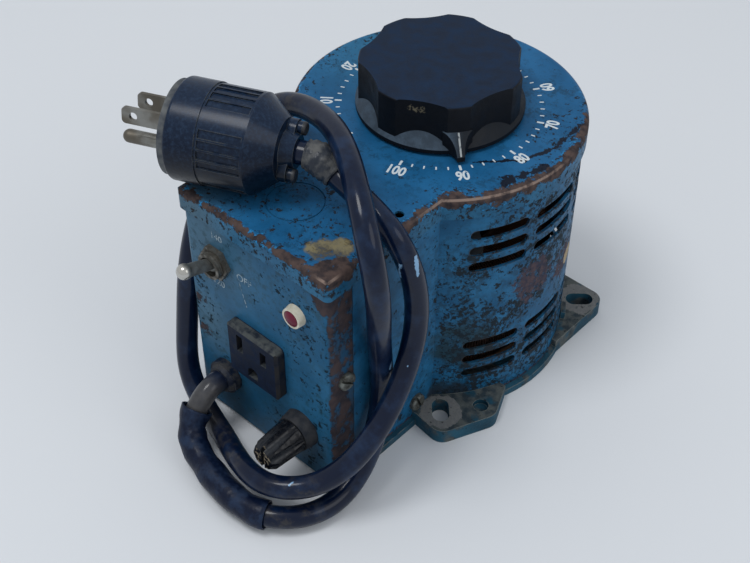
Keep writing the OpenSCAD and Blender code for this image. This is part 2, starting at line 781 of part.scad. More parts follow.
module cord() {
    line = spline(ROUTE, cord_rings);
    ahead = tangents(line, ROUTE);
    sides = carry(ahead);
    last = len(line) - 1;
    rings = [for (i = [0 : last]) let (u = sides[i], v = cross(ahead[i], u),
            covered = i >= sleeve_from * cord_rings && i <= sleeve_to * cord_rings,
            r = (covered ? sleeve_d : cord_d) / 2)
        for (k = [0 : cord_sides - 1])
            line[i] + r * (cos(360 * k / cord_sides) * u + sin(360 * k / cord_sides) * v)];
    skin = [for (i = [0 : last - 1], k = [0 : cord_sides - 1])
        let (n = (k + 1) % cord_sides, a = i * cord_sides)
        [a + k, a + cord_sides + k, a + cord_sides + n, a + n]];
    ends = [[for (k = [0 : cord_sides - 1]) k],
        [for (k = [cord_sides - 1 : -1 : 0]) last * cord_sides + k]];
    color([0.08, 0.09, 0.14]) polyhedron(rings, concat(skin, ends), convexity = 10);
}

module at_plug(along = 0) {
    // Local +Z runs from the plug's rear to its face and on along the blades
    translate(plug_rear) rotate([0, 90, plug_deg]) rotate(plug_roll) translate([0, 0, along]) children();
}

module plug_body() {
    grip_r = plug_r - grip_step;
    color([0.08, 0.09, 0.13]) at_plug() difference() {
        union() {
            cylinder(h = plug_taper, r1 = plug_tail_r, r2 = grip_r, $fn = 96);
            translate([0, 0, plug_taper]) cylinder(h = plug_grip, r = grip_r, $fn = 96);
            translate([0, 0, plug_taper + plug_grip]) rotate_extrude($fn = 96) intersection() {
                round_top(plug_d, plug_collar, plug_edge_r);
                square([plug_d, plug_collar]);
            }
        }
        for (g = [0 : grip_groups - 1], k = [0 : grip_cuts - 1])
            rotate(grip_turn + g * 360 / grip_groups + (k - (grip_cuts - 1) / 2) * grip_pitch)
                translate([grip_r - grip_depth, -grip_cut_w / 2, plug_taper + grip_end])
                    cube([2 * grip_depth, grip_cut_w, plug_grip - 2 * grip_end]);
    }
}

module plug_face() {
    color("dimgray") at_plug(plug_len - plug_face_t) cylinder(h = plug_face_t, r = plug_face_r, $fn = 96);
}

module blade(side) {
    half = blade_w / 2;
    color("tan") at_plug(plug_len) translate([-blade_up, side * blade_gap / 2, 0]) rotate([90, 0, 0])
        linear_extrude(blade_t, center = true) difference() {
            polygon(rounded([[-half, 0, 0], [half, 0, 0], [half, blade_len, blade_tip],
                [-half, blade_len, blade_tip]]));
            translate([0, blade_len - blade_hole_in]) circle(d = blade_hole_d);
        }
}

module line_blade() {
    blade(-1);
}

module neutral_blade() {
    blade(1);
}

module ground_pin() {
    color("tan") at_plug(plug_len) translate([pin_down, 0, 0]) {
        cylinder(h = blade_len + pin_extra - pin_d / 2, d = pin_d);
        translate([0, 0, blade_len + pin_extra - pin_d / 2]) sphere(d = pin_d);
    }
}

module cord_clamp() {
    color([0.12, 0.12, 0.14]) at_plug(-clamp_len) {
        cylinder(h = clamp_len, r1 = cord_d / 2 + clamp_wall, r2 = cord_d / 2 + 2 * clamp_wall);
        rotate(clamp_turn) {
            translate([0, 0, clamp_len - clamp_bar_t]) linear_extrude(clamp_bar_t)
                slot_plan(2 * plug_tail_r, clamp_bar_w);
            for (s = [-1, 1]) translate([s * (plug_tail_r - clamp_screw_in), 0, 0])
                cylinder(h = clamp_len, d = clamp_screw_d);
        }
    }
}

base_casting();
drum_wall();
top_cap();
front_panel();
coil_seat();
coil();
shaft_bearing();
shaft();
brush_arm();
brush();
knob();
switch_body();
switch_nut();
switch_lever();
lamp_bezel();
lamp_lens();
outlet();
fuse_post();
fuse_cap();
cord_gland();
cord();
plug_body();
plug_face();
line_blade();
neutral_blade();
ground_pin();
cord_clamp();
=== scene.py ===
import math

import bpy
from mathutils import Matrix, Vector


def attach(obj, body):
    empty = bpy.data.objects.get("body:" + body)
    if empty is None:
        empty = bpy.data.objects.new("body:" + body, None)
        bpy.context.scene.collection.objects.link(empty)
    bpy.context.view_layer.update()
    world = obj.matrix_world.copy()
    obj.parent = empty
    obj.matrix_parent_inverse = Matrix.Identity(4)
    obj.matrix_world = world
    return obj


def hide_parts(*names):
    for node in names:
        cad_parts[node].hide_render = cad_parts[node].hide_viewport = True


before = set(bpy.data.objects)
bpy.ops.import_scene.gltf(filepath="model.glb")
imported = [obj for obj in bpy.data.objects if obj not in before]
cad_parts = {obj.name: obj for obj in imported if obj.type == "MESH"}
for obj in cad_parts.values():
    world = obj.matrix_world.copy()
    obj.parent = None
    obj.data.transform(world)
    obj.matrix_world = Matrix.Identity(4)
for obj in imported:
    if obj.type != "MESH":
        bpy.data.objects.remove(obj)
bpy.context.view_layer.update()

# Base casting
# A rough iron or zinc casting that carries everything, with four lugs for bench screws.
# It was dipped in the same blue enamel as the case, and its lug tops are scraped bare and caked with dirt.

mm = 0.001


def shade(red, green, blue):
    """A colour as a paint chart gives it, 0 to 255, for a shader's linear socket."""
    part = [c / 255 for c in (red, green, blue)]
    return (*[c / 12.92 if c <= 0.04045 else ((c + 0.055) / 1.055) ** 2.4 for c in part], 1.0)


class Finish:
    """One finish of this object: a material whose pattern lies on the piece's own Object coordinates."""

    def __init__(self, name, **even):
        self.material = bpy.data.materials.new(name)
        self.material.use_nodes = True
        self.tree = self.material.node_tree
        self.shader = self.tree.nodes["Principled BSDF"]
        for socket, value in even.items():
            self.shader.inputs[socket.replace("_", " ")].default_value = value
        spot = self.tree.nodes.new("ShaderNodeTexCoord")
        self.place, self.facing = spot.outputs["Object"], spot.outputs["Normal"]
        self.x, self.y, self.z = self.parts(self.place)
        self.nx, self.ny, self.nz = self.parts(self.facing)

    def put(self, kind, *feeds, out=0, **settings):
        """Adds a node fed with values or other nodes' outputs, and gives back one of its own outputs."""
        made = self.tree.nodes.new("ShaderNode" + kind)
        for key, value in settings.items():
            setattr(made, key, value)
        for socket, feed in zip(made.inputs, feeds):
            if isinstance(feed, bpy.types.NodeSocket):
                self.tree.links.new(feed, socket)
            elif feed is not None:
                socket.default_value = feed
        return made.outputs[out]

    def parts(self, vector):
        """The X, Y and Z of a vector."""
        self.put("SeparateXYZ", vector)
        return self.tree.nodes[-1].outputs[:3]

    def noise(self, size, detail=2.0, rough=0.5):
        """Cloudy noise whose blotches are about size millimetres across."""
        self.put("TexNoise", self.place)
        made = self.tree.nodes[-1]
        for socket, value in (("Scale", 1000 / size), ("Detail", detail), ("Roughness", rough)):
            made.inputs[socket].default_value = value
        return made.outputs[0]

    def ramp(self, value, low, high, start=0.0, end=1.0):
        """Goes smoothly from start to end while the value goes from low to high."""
        return self.put("MapRange", value, low, high, start, end, interpolation_type="SMOOTHSTEP")

    def calc(self, operation, a, b=0.0):
        return self.put("Math", a, b, operation=operation)

    def both(self, a, b):
        return self.calc("MULTIPLY", a, b)

    def either(self, *masks):
        """The strongest of some masks."""
        most = masks[0]
        for mask in masks[1:]:
            most = self.calc("MAXIMUM", most, mask)
        return most

    def over(self, mask, under, top):
        """The colour under, and the colour on top of it where the mask is one."""
        return self.put("MixRGB", mask, under, top)

    def patch(self, centre, inner, outer):
        """One inside a ball of inner millimetres, fading to nought at outer."""
        away = self.put("VectorMath", self.place, Vector(centre) * mm, out=1, operation="DISTANCE")
        return self.ramp(away, inner * mm, outer * mm, 1.0, 0.0)

    def spots(self, *spots):
        """The strongest of some patches, each with its centre, its inner and outer reach and its strength."""
        return self.either(*[self.both(self.patch(*where), much) for *where, much in spots])

    def edge(self, reach, low=0.02):
        """One on edges and corners, within reach millimetres of them."""
        soft = self.put("Bevel", reach * mm, samples=6)
        true = self.tree.nodes.new("ShaderNodeNewGeometry").outputs["Normal"]
        same = self.put("VectorMath", soft, true, out=1, operation="DOT_PRODUCT")
        return self.ramp(self.calc("SUBTRACT", 1.0, same), low, 0.2)

    def show(self, colour, roughness=None, height=None, depth=0.2):
        """Wires up the colour and, where given, the roughness and a relief of depth millimetres."""
        for socket, feed in (("Base Color", colour), ("Roughness", roughness)):
            if feed is not None:
                self.tree.links.new(feed, self.shader.inputs[socket])
        if height is not None:
            bump = self.tree.nodes.new("ShaderNodeBump")
            bump.inputs["Distance"].default_value = depth * mm
            bump.inputs["Strength"].default_value = 1.0
            self.tree.links.new(height, bump.inputs["Height"])
            self.tree.links.new(bump.outputs[0], self.shader.inputs["Normal"])


def dress(finish, *nodes):
    """Gives CAD nodes this finish."""
    for node in nodes:
        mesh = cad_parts[node].data
        mesh.materials.clear()
        mesh.materials.append(finish.material)


cast = Finish("cast_enamel", Specular_IOR_Level=0.2)
cast_cloud = cast.noise(14, 4)
cast_grain = cast.noise(1.1, 3)
cast_paint = cast.over(cast.ramp(cast_cloud, 0.3, 0.7), shade(24, 62, 80), shade(40, 88, 110))
cast_lug = cast.both(cast.ramp(cast.nz, 0.7, 0.95), cast.ramp(cast.z, 0.0055, 0.0066))
cast_soil = cast.over(cast.ramp(cast.noise(4, 4), 0.35, 0.65), shade(44, 56, 64), shade(84, 90, 90))
cast_dirt = cast.ramp(cast.calc("ADD", cast.noise(9, 5), cast.both(cast_lug, 0.14)), 0.5, 0.62)
cast_coat = cast.over(cast_dirt, cast_paint, cast_soil)
lug_top = 7
cast_bare = cast.spots(
    ((-46.4, -48.1, lug_top), 6, 12, 1.0), ((46.4, -48.1, lug_top), 6, 12, 1.0),
    ((-49, 44, lug_top), 7, 13, 0.7), ((49, 44, lug_top), 7, 13, 0.7),
)
cast_bare = cast.calc("ADD", cast_bare, cast.both(cast.noise(5, 6, 0.66), 1.5))
cast_bare = cast.both(cast.ramp(cast_bare, 1.28, 1.36), cast_lug)
cast_coat = cast.over(cast_bare, cast_coat, cast.over(cast_grain, shade(88, 93, 98), shade(128, 128, 126)))
cast_worn = cast.both(cast.edge(0.8), cast.ramp(cast.noise(6, 4), 0.34, 0.54))
cast_coat = cast.over(cast_worn, cast_coat, shade(120, 126, 122))
cast_pits = cast.ramp(cast.noise(2.2, 4, 0.6), 0.62, 0.68)
cast_coat = cast.over(cast.both(cast_pits, 0.75), cast_coat, shade(16, 24, 28))
cast.show(cast_coat, cast.ramp(cast_cloud, 0.2, 0.8, 0.5, 0.8), height=cast_grain, depth=0.25)
dress(cast, "base_casting")

# Insulating seat, shaft and brush
# The coil stands on a ring of pressed fibre. A carbon brush in a die-cast alloy arm, clamped to the turned
# steel shaft, runs on the coil's bared top, and the shaft turns in a brass bearing at the cap.

fibre = Finish("pressed_fibre", Roughness=0.85)
fibre.show(fibre.over(fibre.noise(2, 4), shade(70, 50, 36), shade(104, 78, 56)), height=fibre.noise(0.8, 3))
dress(fibre, "coil_seat")

brass = Finish("turned_brass", Metallic=0.9)
brass_coat = brass.over(brass.noise(6, 4), shade(126, 104, 66), shade(176, 150, 100))
brass.show(brass_coat, brass.ramp(brass.noise(3), 0.3, 0.7, 0.3, 0.55))
dress(brass, "shaft_bearing")

steel = Finish("turned_steel", Metallic=0.95)
steel_coat = steel.over(steel.noise(5, 4), shade(112, 112, 110), shade(168, 168, 164))
steel.show(steel_coat, steel.ramp(steel.noise(2), 0.3, 0.7, 0.3, 0.5))
dress(steel, "shaft")

alloy = Finish("cast_alloy", Metallic=0.8)
alloy_coat = alloy.over(alloy.noise(4, 4), shade(96, 98, 100), shade(140, 142, 142))
alloy.show(alloy_coat, alloy.ramp(alloy.noise(2), 0.3, 0.7, 0.45, 0.7))
dress(alloy, "brush_arm")

carbon = Finish("carbon_brush", Roughness=0.6)
carbon.show(carbon.over(carbon.noise(1.5, 3), shade(24, 24, 26), shade(44, 44, 46)))
dress(carbon, "brush")

# Winding and core
# One layer of enamelled copper wire, wound close round a taped ring core of steel strip. Its 252 turns show
# through the vents, and the brush has bared their tops.


def only(piece):
    """Leaves this piece alone selected and active."""
    bpy.ops.object.select_all(action="DESELECT")
    piece.select_set(True)
    bpy.context.view_layer.objects.active = piece
    return piece


def fresh(add, **sizes):
    """Starts a piece from a primitive, with nothing else selected."""
    bpy.ops.object.select_all(action="DESELECT")
    add(**sizes)
    return bpy.context.object


def laid(piece, place=Matrix()):
    """Puts a piece in its place in its mesh, and its object at the origin."""
    piece.data.transform(place @ piece.matrix_world)
    piece.matrix_world = Matrix()
    return piece


def twin(piece, place):
    """A copy of a piece with a mesh of its own."""
    copy = piece.copy()
    copy.data = piece.data.copy()
    bpy.context.scene.collection.objects.link(copy)
    return laid(copy, place)


def joined(pieces):
    """Makes one piece of several."""
    only(pieces[0])
    for piece in pieces:
        piece.select_set(True)
    bpy.ops.object.join()
    return bpy.context.object


def fitted(piece, name, finish, body):
    """Names a finished piece, gives it its finish and makes it ride on a body."""
    piece.name = piece.data.name = name
    piece.data.materials.clear()
    piece.data.materials.append(finish.material)
    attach(piece, body)
    return piece


turns, wire_radius = 252, 0.52
loop_width, loop_height, loop_corner = 21.9, 50.9, 4.4
loop_out, loop_up = 37.5, 38
crease = math.radians(35)
coil_middle = Matrix.Translation((loop_out * mm, 0, loop_up * mm)) @ Matrix.Rotation(math.pi / 2, 4, "X")
loop = fresh(bpy.ops.mesh.primitive_plane_add, size=1.0)
bpy.ops.object.mode_set(mode="EDIT")
bpy.ops.transform.resize(value=(loop_width * mm, loop_height * mm, 1.0))
bpy.ops.mesh.bevel(offset=loop_corner * mm, segments=2, affect="VERTICES")
bpy.ops.mesh.delete(type="ONLY_FACE")
bpy.ops.object.mode_set(mode="OBJECT")
core = twin(loop, coil_middle)
only(loop)
bpy.ops.object.convert(target="CURVE")
loop.data.bevel_depth, loop.data.bevel_resolution = wire_radius * mm, 0
bpy.ops.object.convert(target="MESH")
bpy.ops.object.shade_smooth()
laid(loop, coil_middle)
others = [twin(loop, Matrix.Rotation(2 * math.pi * k / turns, 4, "Z")) for k in range(1, turns)]
winding = joined([loop] + others)
copper = Finish("enamelled_copper", Metallic=0.6)
copper_bare = copper.both(copper.ramp(copper.z, 0.0625, 0.0632), copper.ramp(copper.nz, 0.2, 0.6))
# The enamel and the bared tops are painted darker than copper, as painted shade inside the case.
copper_coat = copper.over(copper.ramp(copper.noise(9, 4), 0.35, 0.65), shade(30, 21, 18), shade(66, 42, 30))
copper_coat = copper.over(copper_bare, copper_coat, shade(78, 52, 38))
copper.show(copper_coat, copper.ramp(copper.noise(4), 0.3, 0.7, 0.35, 0.6))
fitted(winding, "winding", copper, "case")
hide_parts("coil")

only(core)
bpy.ops.object.mode_set(mode="EDIT")
bpy.ops.mesh.select_all(action="SELECT")
bpy.ops.mesh.spin(steps=64, angle=2 * math.pi, center=(0, 0, 0), axis=(0, 0, 1))
bpy.ops.mesh.select_all(action="SELECT")
bpy.ops.mesh.remove_doubles(threshold=0.01 * mm)
bpy.ops.mesh.normals_make_consistent(inside=False)
bpy.ops.object.mode_set(mode="OBJECT")
bpy.ops.object.shade_smooth_by_angle(angle=crease)
tape = Finish("core_tape", Roughness=0.8)
tape_coat = tape.over(tape.noise(4, 4), shade(22, 18, 17), shade(40, 32, 27))
tape.show(tape_coat, height=tape.noise(1.5, 3), depth=0.1)
fitted(core, "ring_core", tape, "case")

# Drum wall
# One sheet of steel rolled round the drum and folded into the box's sides, with punched vent slots.
# Its blue enamel is freckled all over with chips down to dark primer, thickest on the drum. It rusts between
# the vents and along its foot.


def freckles(coat, size, amount, cloud):
    """Chips of about size millimetres that gather where cloud is high. A higher amount leaves fewer."""
    gathered = coat.calc("ADD", coat.noise(1.6 * size, 6, 0.72), coat.both(cloud, 0.12))
    return coat.ramp(gathered, amount, amount + 0.025)


wall = Finish("drum_enamel", Specular_IOR_Level=0.15)
wall_cloud = wall.noise(26, 3)
wall_tone = wall.noise(9, 5)
wall_paint = wall.over(wall.ramp(wall_tone, 0.3, 0.7), shade(22, 80, 118), shade(36, 102, 144))
# Darker patches where the drum meets the box's sides: dark teal, and brown-grey towards the foot.
wall_junction_patch = wall.spots(((44, -34, 36), 6, 24, 1.0), ((42, -38, 6), 6, 15, 1.0), ((-43, -36, 30), 6, 24, 1.0))
wall_junction_patch = wall.ramp(wall.both(wall_junction_patch, wall.noise(7, 5, 0.6)), 0.2, 0.5, 0.0, 0.85)
wall_patch_colour = wall.over(wall.ramp(wall.z, 0.008, 0.02), shade(40, 36, 36), shade(32, 56, 64))
wall_coat = wall.over(wall_junction_patch, wall_paint, wall_patch_colour)
wall_gather = wall.both(wall.ramp(wall_cloud, 0.3, 0.58), wall.ramp(wall.y, -0.05, -0.03, 0.4, 1.0))
wall_mottle = wall.ramp(wall.noise(2.6, 6, 0.66), 0.47, 0.58)
wall_mottle = wall.both(wall_mottle, wall.ramp(wall_gather, 0.0, 1.0, 0.15, 0.8))
wall_coat = wall.over(wall_mottle, wall_coat, wall.over(wall_tone, shade(20, 48, 66), shade(34, 58, 72)))
wall_chips = wall.either(freckles(wall, 2.4, 0.638, wall_gather), freckles(wall, 1.3, 0.64, wall_gather))
wall_primer = wall.over(wall.noise(4, 3), shade(18, 38, 50), shade(40, 46, 52))
wall_coat = wall.over(wall_chips, wall_coat, wall_primer)
wall_rusty = wall.spots(
    ((55, -6, 60), 6, 26, 1.0), ((55, 16, 54), 3, 26, 1.0), ((41, -40, 83), 1, 7, 0.8),
    ((-30, 47, 60), 3, 26, 1.0), ((-53, -14, 84), 2, 16, 1.0), ((10, 56, 30), 2, 18, 1.0),
)
wall_rusty = wall.either(wall_rusty, wall.ramp(wall.z, 0.0035, 0.0085, 0.95, 0.0))
wall_rust = wall.ramp(wall.both(wall_rusty, wall.noise(3.4, 8, 0.75)), 0.42, 0.49)
wall_brown = wall.over(wall.ramp(wall.noise(2, 4), 0.3, 0.7), shade(50, 52, 68), shade(84, 70, 74))
wall_coat = wall.over(wall_rust, wall_coat, wall_brown)
wall_lip = wall.both(wall.edge(0.7, 0.03), wall.ramp(wall.noise(4, 3), 0.4, 0.56))
wall_coat = wall.over(wall_lip, wall_coat, shade(74, 66, 64))
wall_tan = wall.both(wall.patch((52.6, 21.8, 52), 2, 8), wall.noise(3, 4, 0.6))
wall_coat = wall.over(wall.ramp(wall_tan, 0.26, 0.34), wall_coat, shade(168, 150, 122))
wall_lost = wall.either(wall_chips, wall_rust)
wall.show(
    wall_coat, wall.ramp(wall_lost, 0.0, 1.0, 0.45, 0.8),
    height=wall.calc("SUBTRACT", wall.both(wall_tone, 0.3), wall_lost), depth=0.1,
)
dress(wall, "drum_wall")

# Top cap
# A drawn lid over drum and box, its turned-down skirt all round, in the same enamel but less soiled.
# The paint has rubbed off its rolled edge down to rust, most at the box's corner and the drum's near side.
# A tan stain is left by that corner, and dark streaks run round the dial.


def stroke(coat, start, end, half):
    """A ragged streak between two points, half its width in millimetres to either side."""
    start, way = Vector(start) * mm, (Vector(end) - Vector(start)) * mm
    off = coat.put("VectorMath", coat.place, start, operation="SUBTRACT")
    run = coat.put("VectorMath", off, way.normalized(), out=1, operation="DOT_PRODUCT")
    run = coat.calc("MINIMUM", coat.calc("MAXIMUM", run, 0.0), way.length)
    near = coat.put("VectorMath", way.normalized(), None, None, run, operation="SCALE")
    away = coat.put("VectorMath", off, near, out=1, operation="DISTANCE")
    reach = coat.put("MapRange", coat.noise(4, 6, 0.7), 0.35, 0.65, -0.1 * half * mm, 1.6 * half * mm)
    return coat.ramp(coat.calc("SUBTRACT", reach, away), -0.0001, 0.0002)


cap_r, cap_half, cap_front, cap_top = 58.3, 38.5, 103.5, 112.6
cap = Finish("cap_enamel", Specular_IOR_Level=0.15)
cap_tone = cap.noise(16, 4)
cap_flat = cap.ramp(cap.nz, 0.5, 0.9)
cap_paint = cap.over(cap.ramp(cap_tone, 0.3, 0.7), shade(22, 84, 128), shade(34, 100, 148))
cap_skirt = cap.over(cap.ramp(cap_tone, 0.3, 0.7), shade(30, 86, 122), shade(42, 102, 138))
cap_paint = cap.over(cap_flat, cap_skirt, cap_paint)
# A paler teal cast towards the back left is a painted sheen: the paint reflecting the pale surround.
cap_paint = cap.over(cap.both(cap.patch((-46, 24, 112), 10, 60), 0.6), cap_paint, shade(46, 112, 146))
cap_paint = cap.over(cap.both(cap.patch((-37, -103.5, 106), 6, 34), 0.55), cap_paint, shade(78, 98, 104))
cap_away = cap.put("VectorMath", cap.put("CombineXYZ", cap.x, cap.y, 0.0), out=1, operation="LENGTH")
cap_round = cap.calc("SUBTRACT", cap_r * mm, cap_away)
cap_sides = cap.calc("SUBTRACT", cap_half * mm, cap.calc("ABSOLUTE", cap.x))
cap_box = cap.calc("MINIMUM", cap_sides, cap.calc("ADD", cap.y, cap_front * mm))
cap_inset = cap.either(cap_round, cap_box, 0.0)
cap_run = cap.calc("ADD", cap_inset, cap.calc("SUBTRACT", cap_top * mm, cap.z))
cap_worn = cap.spots(
    ((37, -102, 110), 6, 20, 1.0), ((38, -62, 112), 4, 14, 0.6), ((41, -41, 112), 4, 14, 0.7),
    ((50, -28, 112), 6, 20, 0.85), ((57, -6, 108), 8, 26, 0.8), ((54, 20, 108), 4, 24, 0.6),
    ((10, -104, 112), 14, 34, 0.35), ((-38, -103, 112), 4, 16, 0.6),
    ((-40, 42, 110), 4, 26, 0.5), ((0, 58, 110), 6, 30, 0.4),
)
cap_reach = cap.put("MapRange", cap_worn, 0.0, 1.0, 1.9 * mm, 4.4 * mm)
cap_ragged = cap.put("MapRange", cap.noise(7, 8, 0.74), 0.36, 0.64, 0.1, 1.45)
cap_limit = cap.calc("ADD", cap.both(cap_reach, cap_ragged), cap.both(cap_worn, 0.6 * mm))
cap_spare = cap.calc("SUBTRACT", cap_limit, cap_run)
cap_corner = cap.spots(((34, -99, 112), 3, 10, 1.0), ((34, -92, 112), 1, 6, 1.0))
cap_corner = cap.both(cap_corner, cap.noise(5, 7, 0.7))
cap_rust = cap.either(cap.ramp(cap_spare, -0.0001, 0.0002), cap.ramp(cap_corner, 0.3, 0.36))
cap_halo = cap.both(cap.ramp(cap_spare, -0.0016, -0.0003), cap.ramp(cap.noise(2.4, 4), 0.54, 0.6))
cap_thick = cap.spots(
    ((0, -80, 112), 16, 44, 0.62), ((45, 20, 112), 8, 26, 0.7), ((20, -52, 112), 4, 20, 0.3),
)
cap_thick = cap.either(cap_thick, cap.both(cap_worn, 0.5), cap.ramp(cap_inset, 0.0, 0.016, 0.8, 0.0))
cap_chips = cap.either(freckles(cap, 2.4, 0.662, cap_thick), freckles(cap, 1.2, 0.665, cap_thick))
cap_marker = cap.either(*[stroke(cap, (*start, cap_top), (*end, cap_top), half) for start, end, half in (
    ((32.5, -19.4), (45.5, -5.7), 0.9), ((45.5, -5.7), (49.5, 8), 1.1),
    ((49.5, 8), (48.8, 27), 1.3), ((48, -21), (54, -3), 2.4),
)])
cap_mottle = cap.ramp(cap.noise(3, 7, 0.74), 0.48, 0.62)
cap_mottle = cap.both(cap_mottle, cap.ramp(cap.noise(24, 2), 0.35, 0.65, 0.2, 0.75))
cap_coat = cap.over(cap_mottle, cap_paint, shade(20, 62, 90))
cap_coat = cap.over(cap_halo, cap_coat, shade(36, 128, 184))
cap_coat = cap.over(cap_chips, cap_coat, cap.over(cap.noise(4, 3), shade(14, 30, 42), shade(54, 52, 52)))
cap_coat = cap.over(cap.both(cap_marker, cap_flat), cap_coat, shade(14, 24, 40))
cap_brown = cap.over(cap.ramp(cap.noise(3, 5), 0.3, 0.7), shade(46, 42, 46), shade(84, 70, 66))
cap_coat = cap.over(cap_rust, cap_coat, cap_brown)
# A pale line along the rolled edge: rubbed edge, and partly a painted highlight where the lip catches the
# light.
cap_lip_rub_and_highlight = cap.spots(((52, -26, 112), 18, 40, 1.0), ((38, -103, 112), 2, 8, 1.0))
cap_lip_rub_and_highlight = cap.both(cap_lip_rub_and_highlight, cap.ramp(cap.noise(6, 6, 0.66), 0.36, 0.54, 0.1, 0.85))
cap_coat = cap.over(cap.both(cap.ramp(cap_run, 0.00154, 0.00144), cap_lip_rub_and_highlight), cap_coat, shade(142, 124, 114))
cap_stain = cap.spots(((25, -92, 112), 3, 11, 1.0), ((29, -87, 112), 3, 9, 1.0), ((33, -80, 112), 1, 6, 1.0))
cap_stain = cap.ramp(cap.both(cap_stain, cap.noise(6, 9, 0.8)), 0.3, 0.46, 0.0, 0.9)
cap_tan = cap.over(cap.ramp(cap.noise(6, 8, 0.7), 0.4, 0.62), shade(80, 74, 62), shade(136, 126, 92))
cap_coat = cap.over(cap.both(cap_stain, cap_flat), cap_coat, cap_tan)
cap_lost = cap.either(cap_chips, cap_rust)
cap.show(
    cap_coat, cap.ramp(cap.either(cap_lost, cap_stain), 0.0, 1.0, 0.42, 0.82),
    height=cap.calc("SUBTRACT", cap.both(cap_tone, 0.2), cap_lost), depth=0.1,
)
dress(cap, "top_cap")

# Dial print
# White ink screened on the cap round the knob: a short tick each two per cent, a longer one and a number each
# ten, from 0 to 100. It has worn through in places.

ink_rise = 0.06


def dash(length, width):
    """A flat bar of ink with eased corners, lying along X on the XY plane."""
    bar = fresh(bpy.ops.mesh.primitive_plane_add, size=1.0)
    bpy.ops.object.mode_set(mode="EDIT")
    bpy.ops.transform.resize(value=(length * mm, width * mm, 1.0))
    bpy.ops.mesh.bevel(offset=0.25 * width * mm, segments=2, affect="VERTICES")
    bpy.ops.mesh.extrude_region_move(TRANSFORM_OT_translate={"value": (0, 0, ink_rise * mm)})
    bpy.ops.mesh.select_all(action="SELECT")
    bpy.ops.mesh.normals_make_consistent(inside=False)
    bpy.ops.object.mode_set(mode="OBJECT")
    return bar


def lettered(words, height, weight):
    """Printed characters, centred on the XY plane, read from +Z. A figure fills 0.7 of its type's size."""
    mark = fresh(bpy.ops.object.text_add)
    mark.data.body, mark.data.size = words, height / 0.7 * mm
    mark.data.align_x, mark.data.align_y = "CENTER", "CENTER"
    mark.data.extrude, mark.data.offset = ink_rise * mm / 2, weight * mm
    bpy.ops.object.convert(target="MESH")
    return laid(bpy.context.object, Matrix.Translation((0, 0, ink_rise * mm / 2)))


def on_dial(angle, radius):
    """The place on the cap at a dial angle, with +Y pointing away from the knob."""
    outward = Matrix.Translation((0, radius * mm, cap_top * mm))
    return Matrix.Rotation(math.radians(angle - 90), 4, "Z") @ outward


ink = Finish("worn_ink", Roughness=0.55)
ink_lost = ink.ramp(ink.noise(1.9, 4, 0.6), 0.63, 0.69)
ink.show(ink.over(ink_lost, shade(206, 216, 222), shade(58, 104, 140)))
zero_angle, per_cent = -109.2, 3.218
tick_radius, number_radius, number_height, number_weight = 40.0, 44.9, 4.8, 0.22
upright, inward = Matrix.Rotation(math.pi / 2, 4, "Z"), Matrix.Rotation(math.pi, 4, "Z")
narrow = Matrix.Scale(0.74, 4, (1, 0, 0))
short_dash, long_dash = dash(length=1.7, width=0.6), dash(length=2.8, width=0.95)
prints = []
for mark in range(51):
    angle = zero_angle - per_cent * 2 * mark
    prints.append(twin(long_dash if mark % 5 == 0 else short_dash, on_dial(angle, tick_radius) @ upright))
    if mark % 5 == 0:
        number = lettered(str(2 * mark), number_height, number_weight)
        prints.append(laid(number, on_dial(angle, number_radius) @ inward @ narrow))
for spare in (short_dash, long_dash):
    bpy.data.objects.remove(spare)
fitted(joined(prints), "dial_print", ink, "case")

# Front panel
# A folded steel plate that closes the box, its side flanges screwed to lips of the wall.
# The enamel is greyed by handling round the switch, and the folds and flanges are rusty. The switch's marks
# are screened on it in white, now faint.

panel_face = -102.4
panel = Finish("panel_enamel", Specular_IOR_Level=0.15)
panel_tone = panel.noise(18, 4)
panel_paint = panel.over(panel.ramp(panel_tone, 0.3, 0.7), shade(26, 84, 120), shade(40, 98, 135))
panel_grey = panel.spots(((-30, panel_face, 95), 8, 40, 1.0), ((-32, panel_face, 50), 4, 26, 1.0))
panel_coat = panel.over(panel.both(panel_grey, 0.6), panel_paint, shade(76, 108, 126))
# Darker patches low on the panel, below the fittings and behind the cord: dirt, and painted shadow.
panel_soot_and_shadow = panel.spots(
    ((-18, panel_face, 12), 6, 26, 1.0), ((4, panel_face, 30), 4, 18, 1.0),
    ((24, panel_face, 10), 4, 18, 1.0),
)
panel_soot_and_shadow = panel.both(panel_soot_and_shadow, panel.ramp(panel.noise(12, 6, 0.66), 0.35, 0.65, 0.3, 0.8))
panel_coat = panel.over(panel_soot_and_shadow, panel_coat, shade(18, 58, 82))
panel_mottle = panel.ramp(panel.noise(3.4, 7, 0.74), 0.47, 0.62)
panel_mottle = panel.both(panel_mottle, panel.ramp(panel.noise(24, 2), 0.35, 0.65, 0.3, 0.8))
panel_coat = panel.over(panel_mottle, panel_coat, shade(30, 66, 82))
panel_fold = panel.both(panel.ramp(panel.x, -0.0345, -0.0372), 0.8)
panel_fold = panel.either(panel.ramp(panel.x, 0.0335, 0.0372), panel_fold)
panel_flange = panel.ramp(panel.calc("ABSOLUTE", panel.nx), 0.5, 0.8)
panel_side = panel.over(panel.ramp(panel.noise(8, 5), 0.35, 0.65), shade(28, 66, 96), shade(44, 62, 82))
panel_coat = panel.over(panel.both(panel_flange, 0.85), panel_coat, panel_side)
panel_foul = panel.spots(
    ((-32, panel_face, 60), 2, 9, 0.5), ((-31, panel_face, 42), 2, 8, 0.55),
    ((36, panel_face, 102), 3, 12, 1.0),
)
panel_foul = panel.either(
    panel_foul, panel.both(panel_fold, 0.6),
    panel.both(panel_flange, panel.ramp(panel.y, -0.0955, -0.1015, 0.22, 0.66)),
)
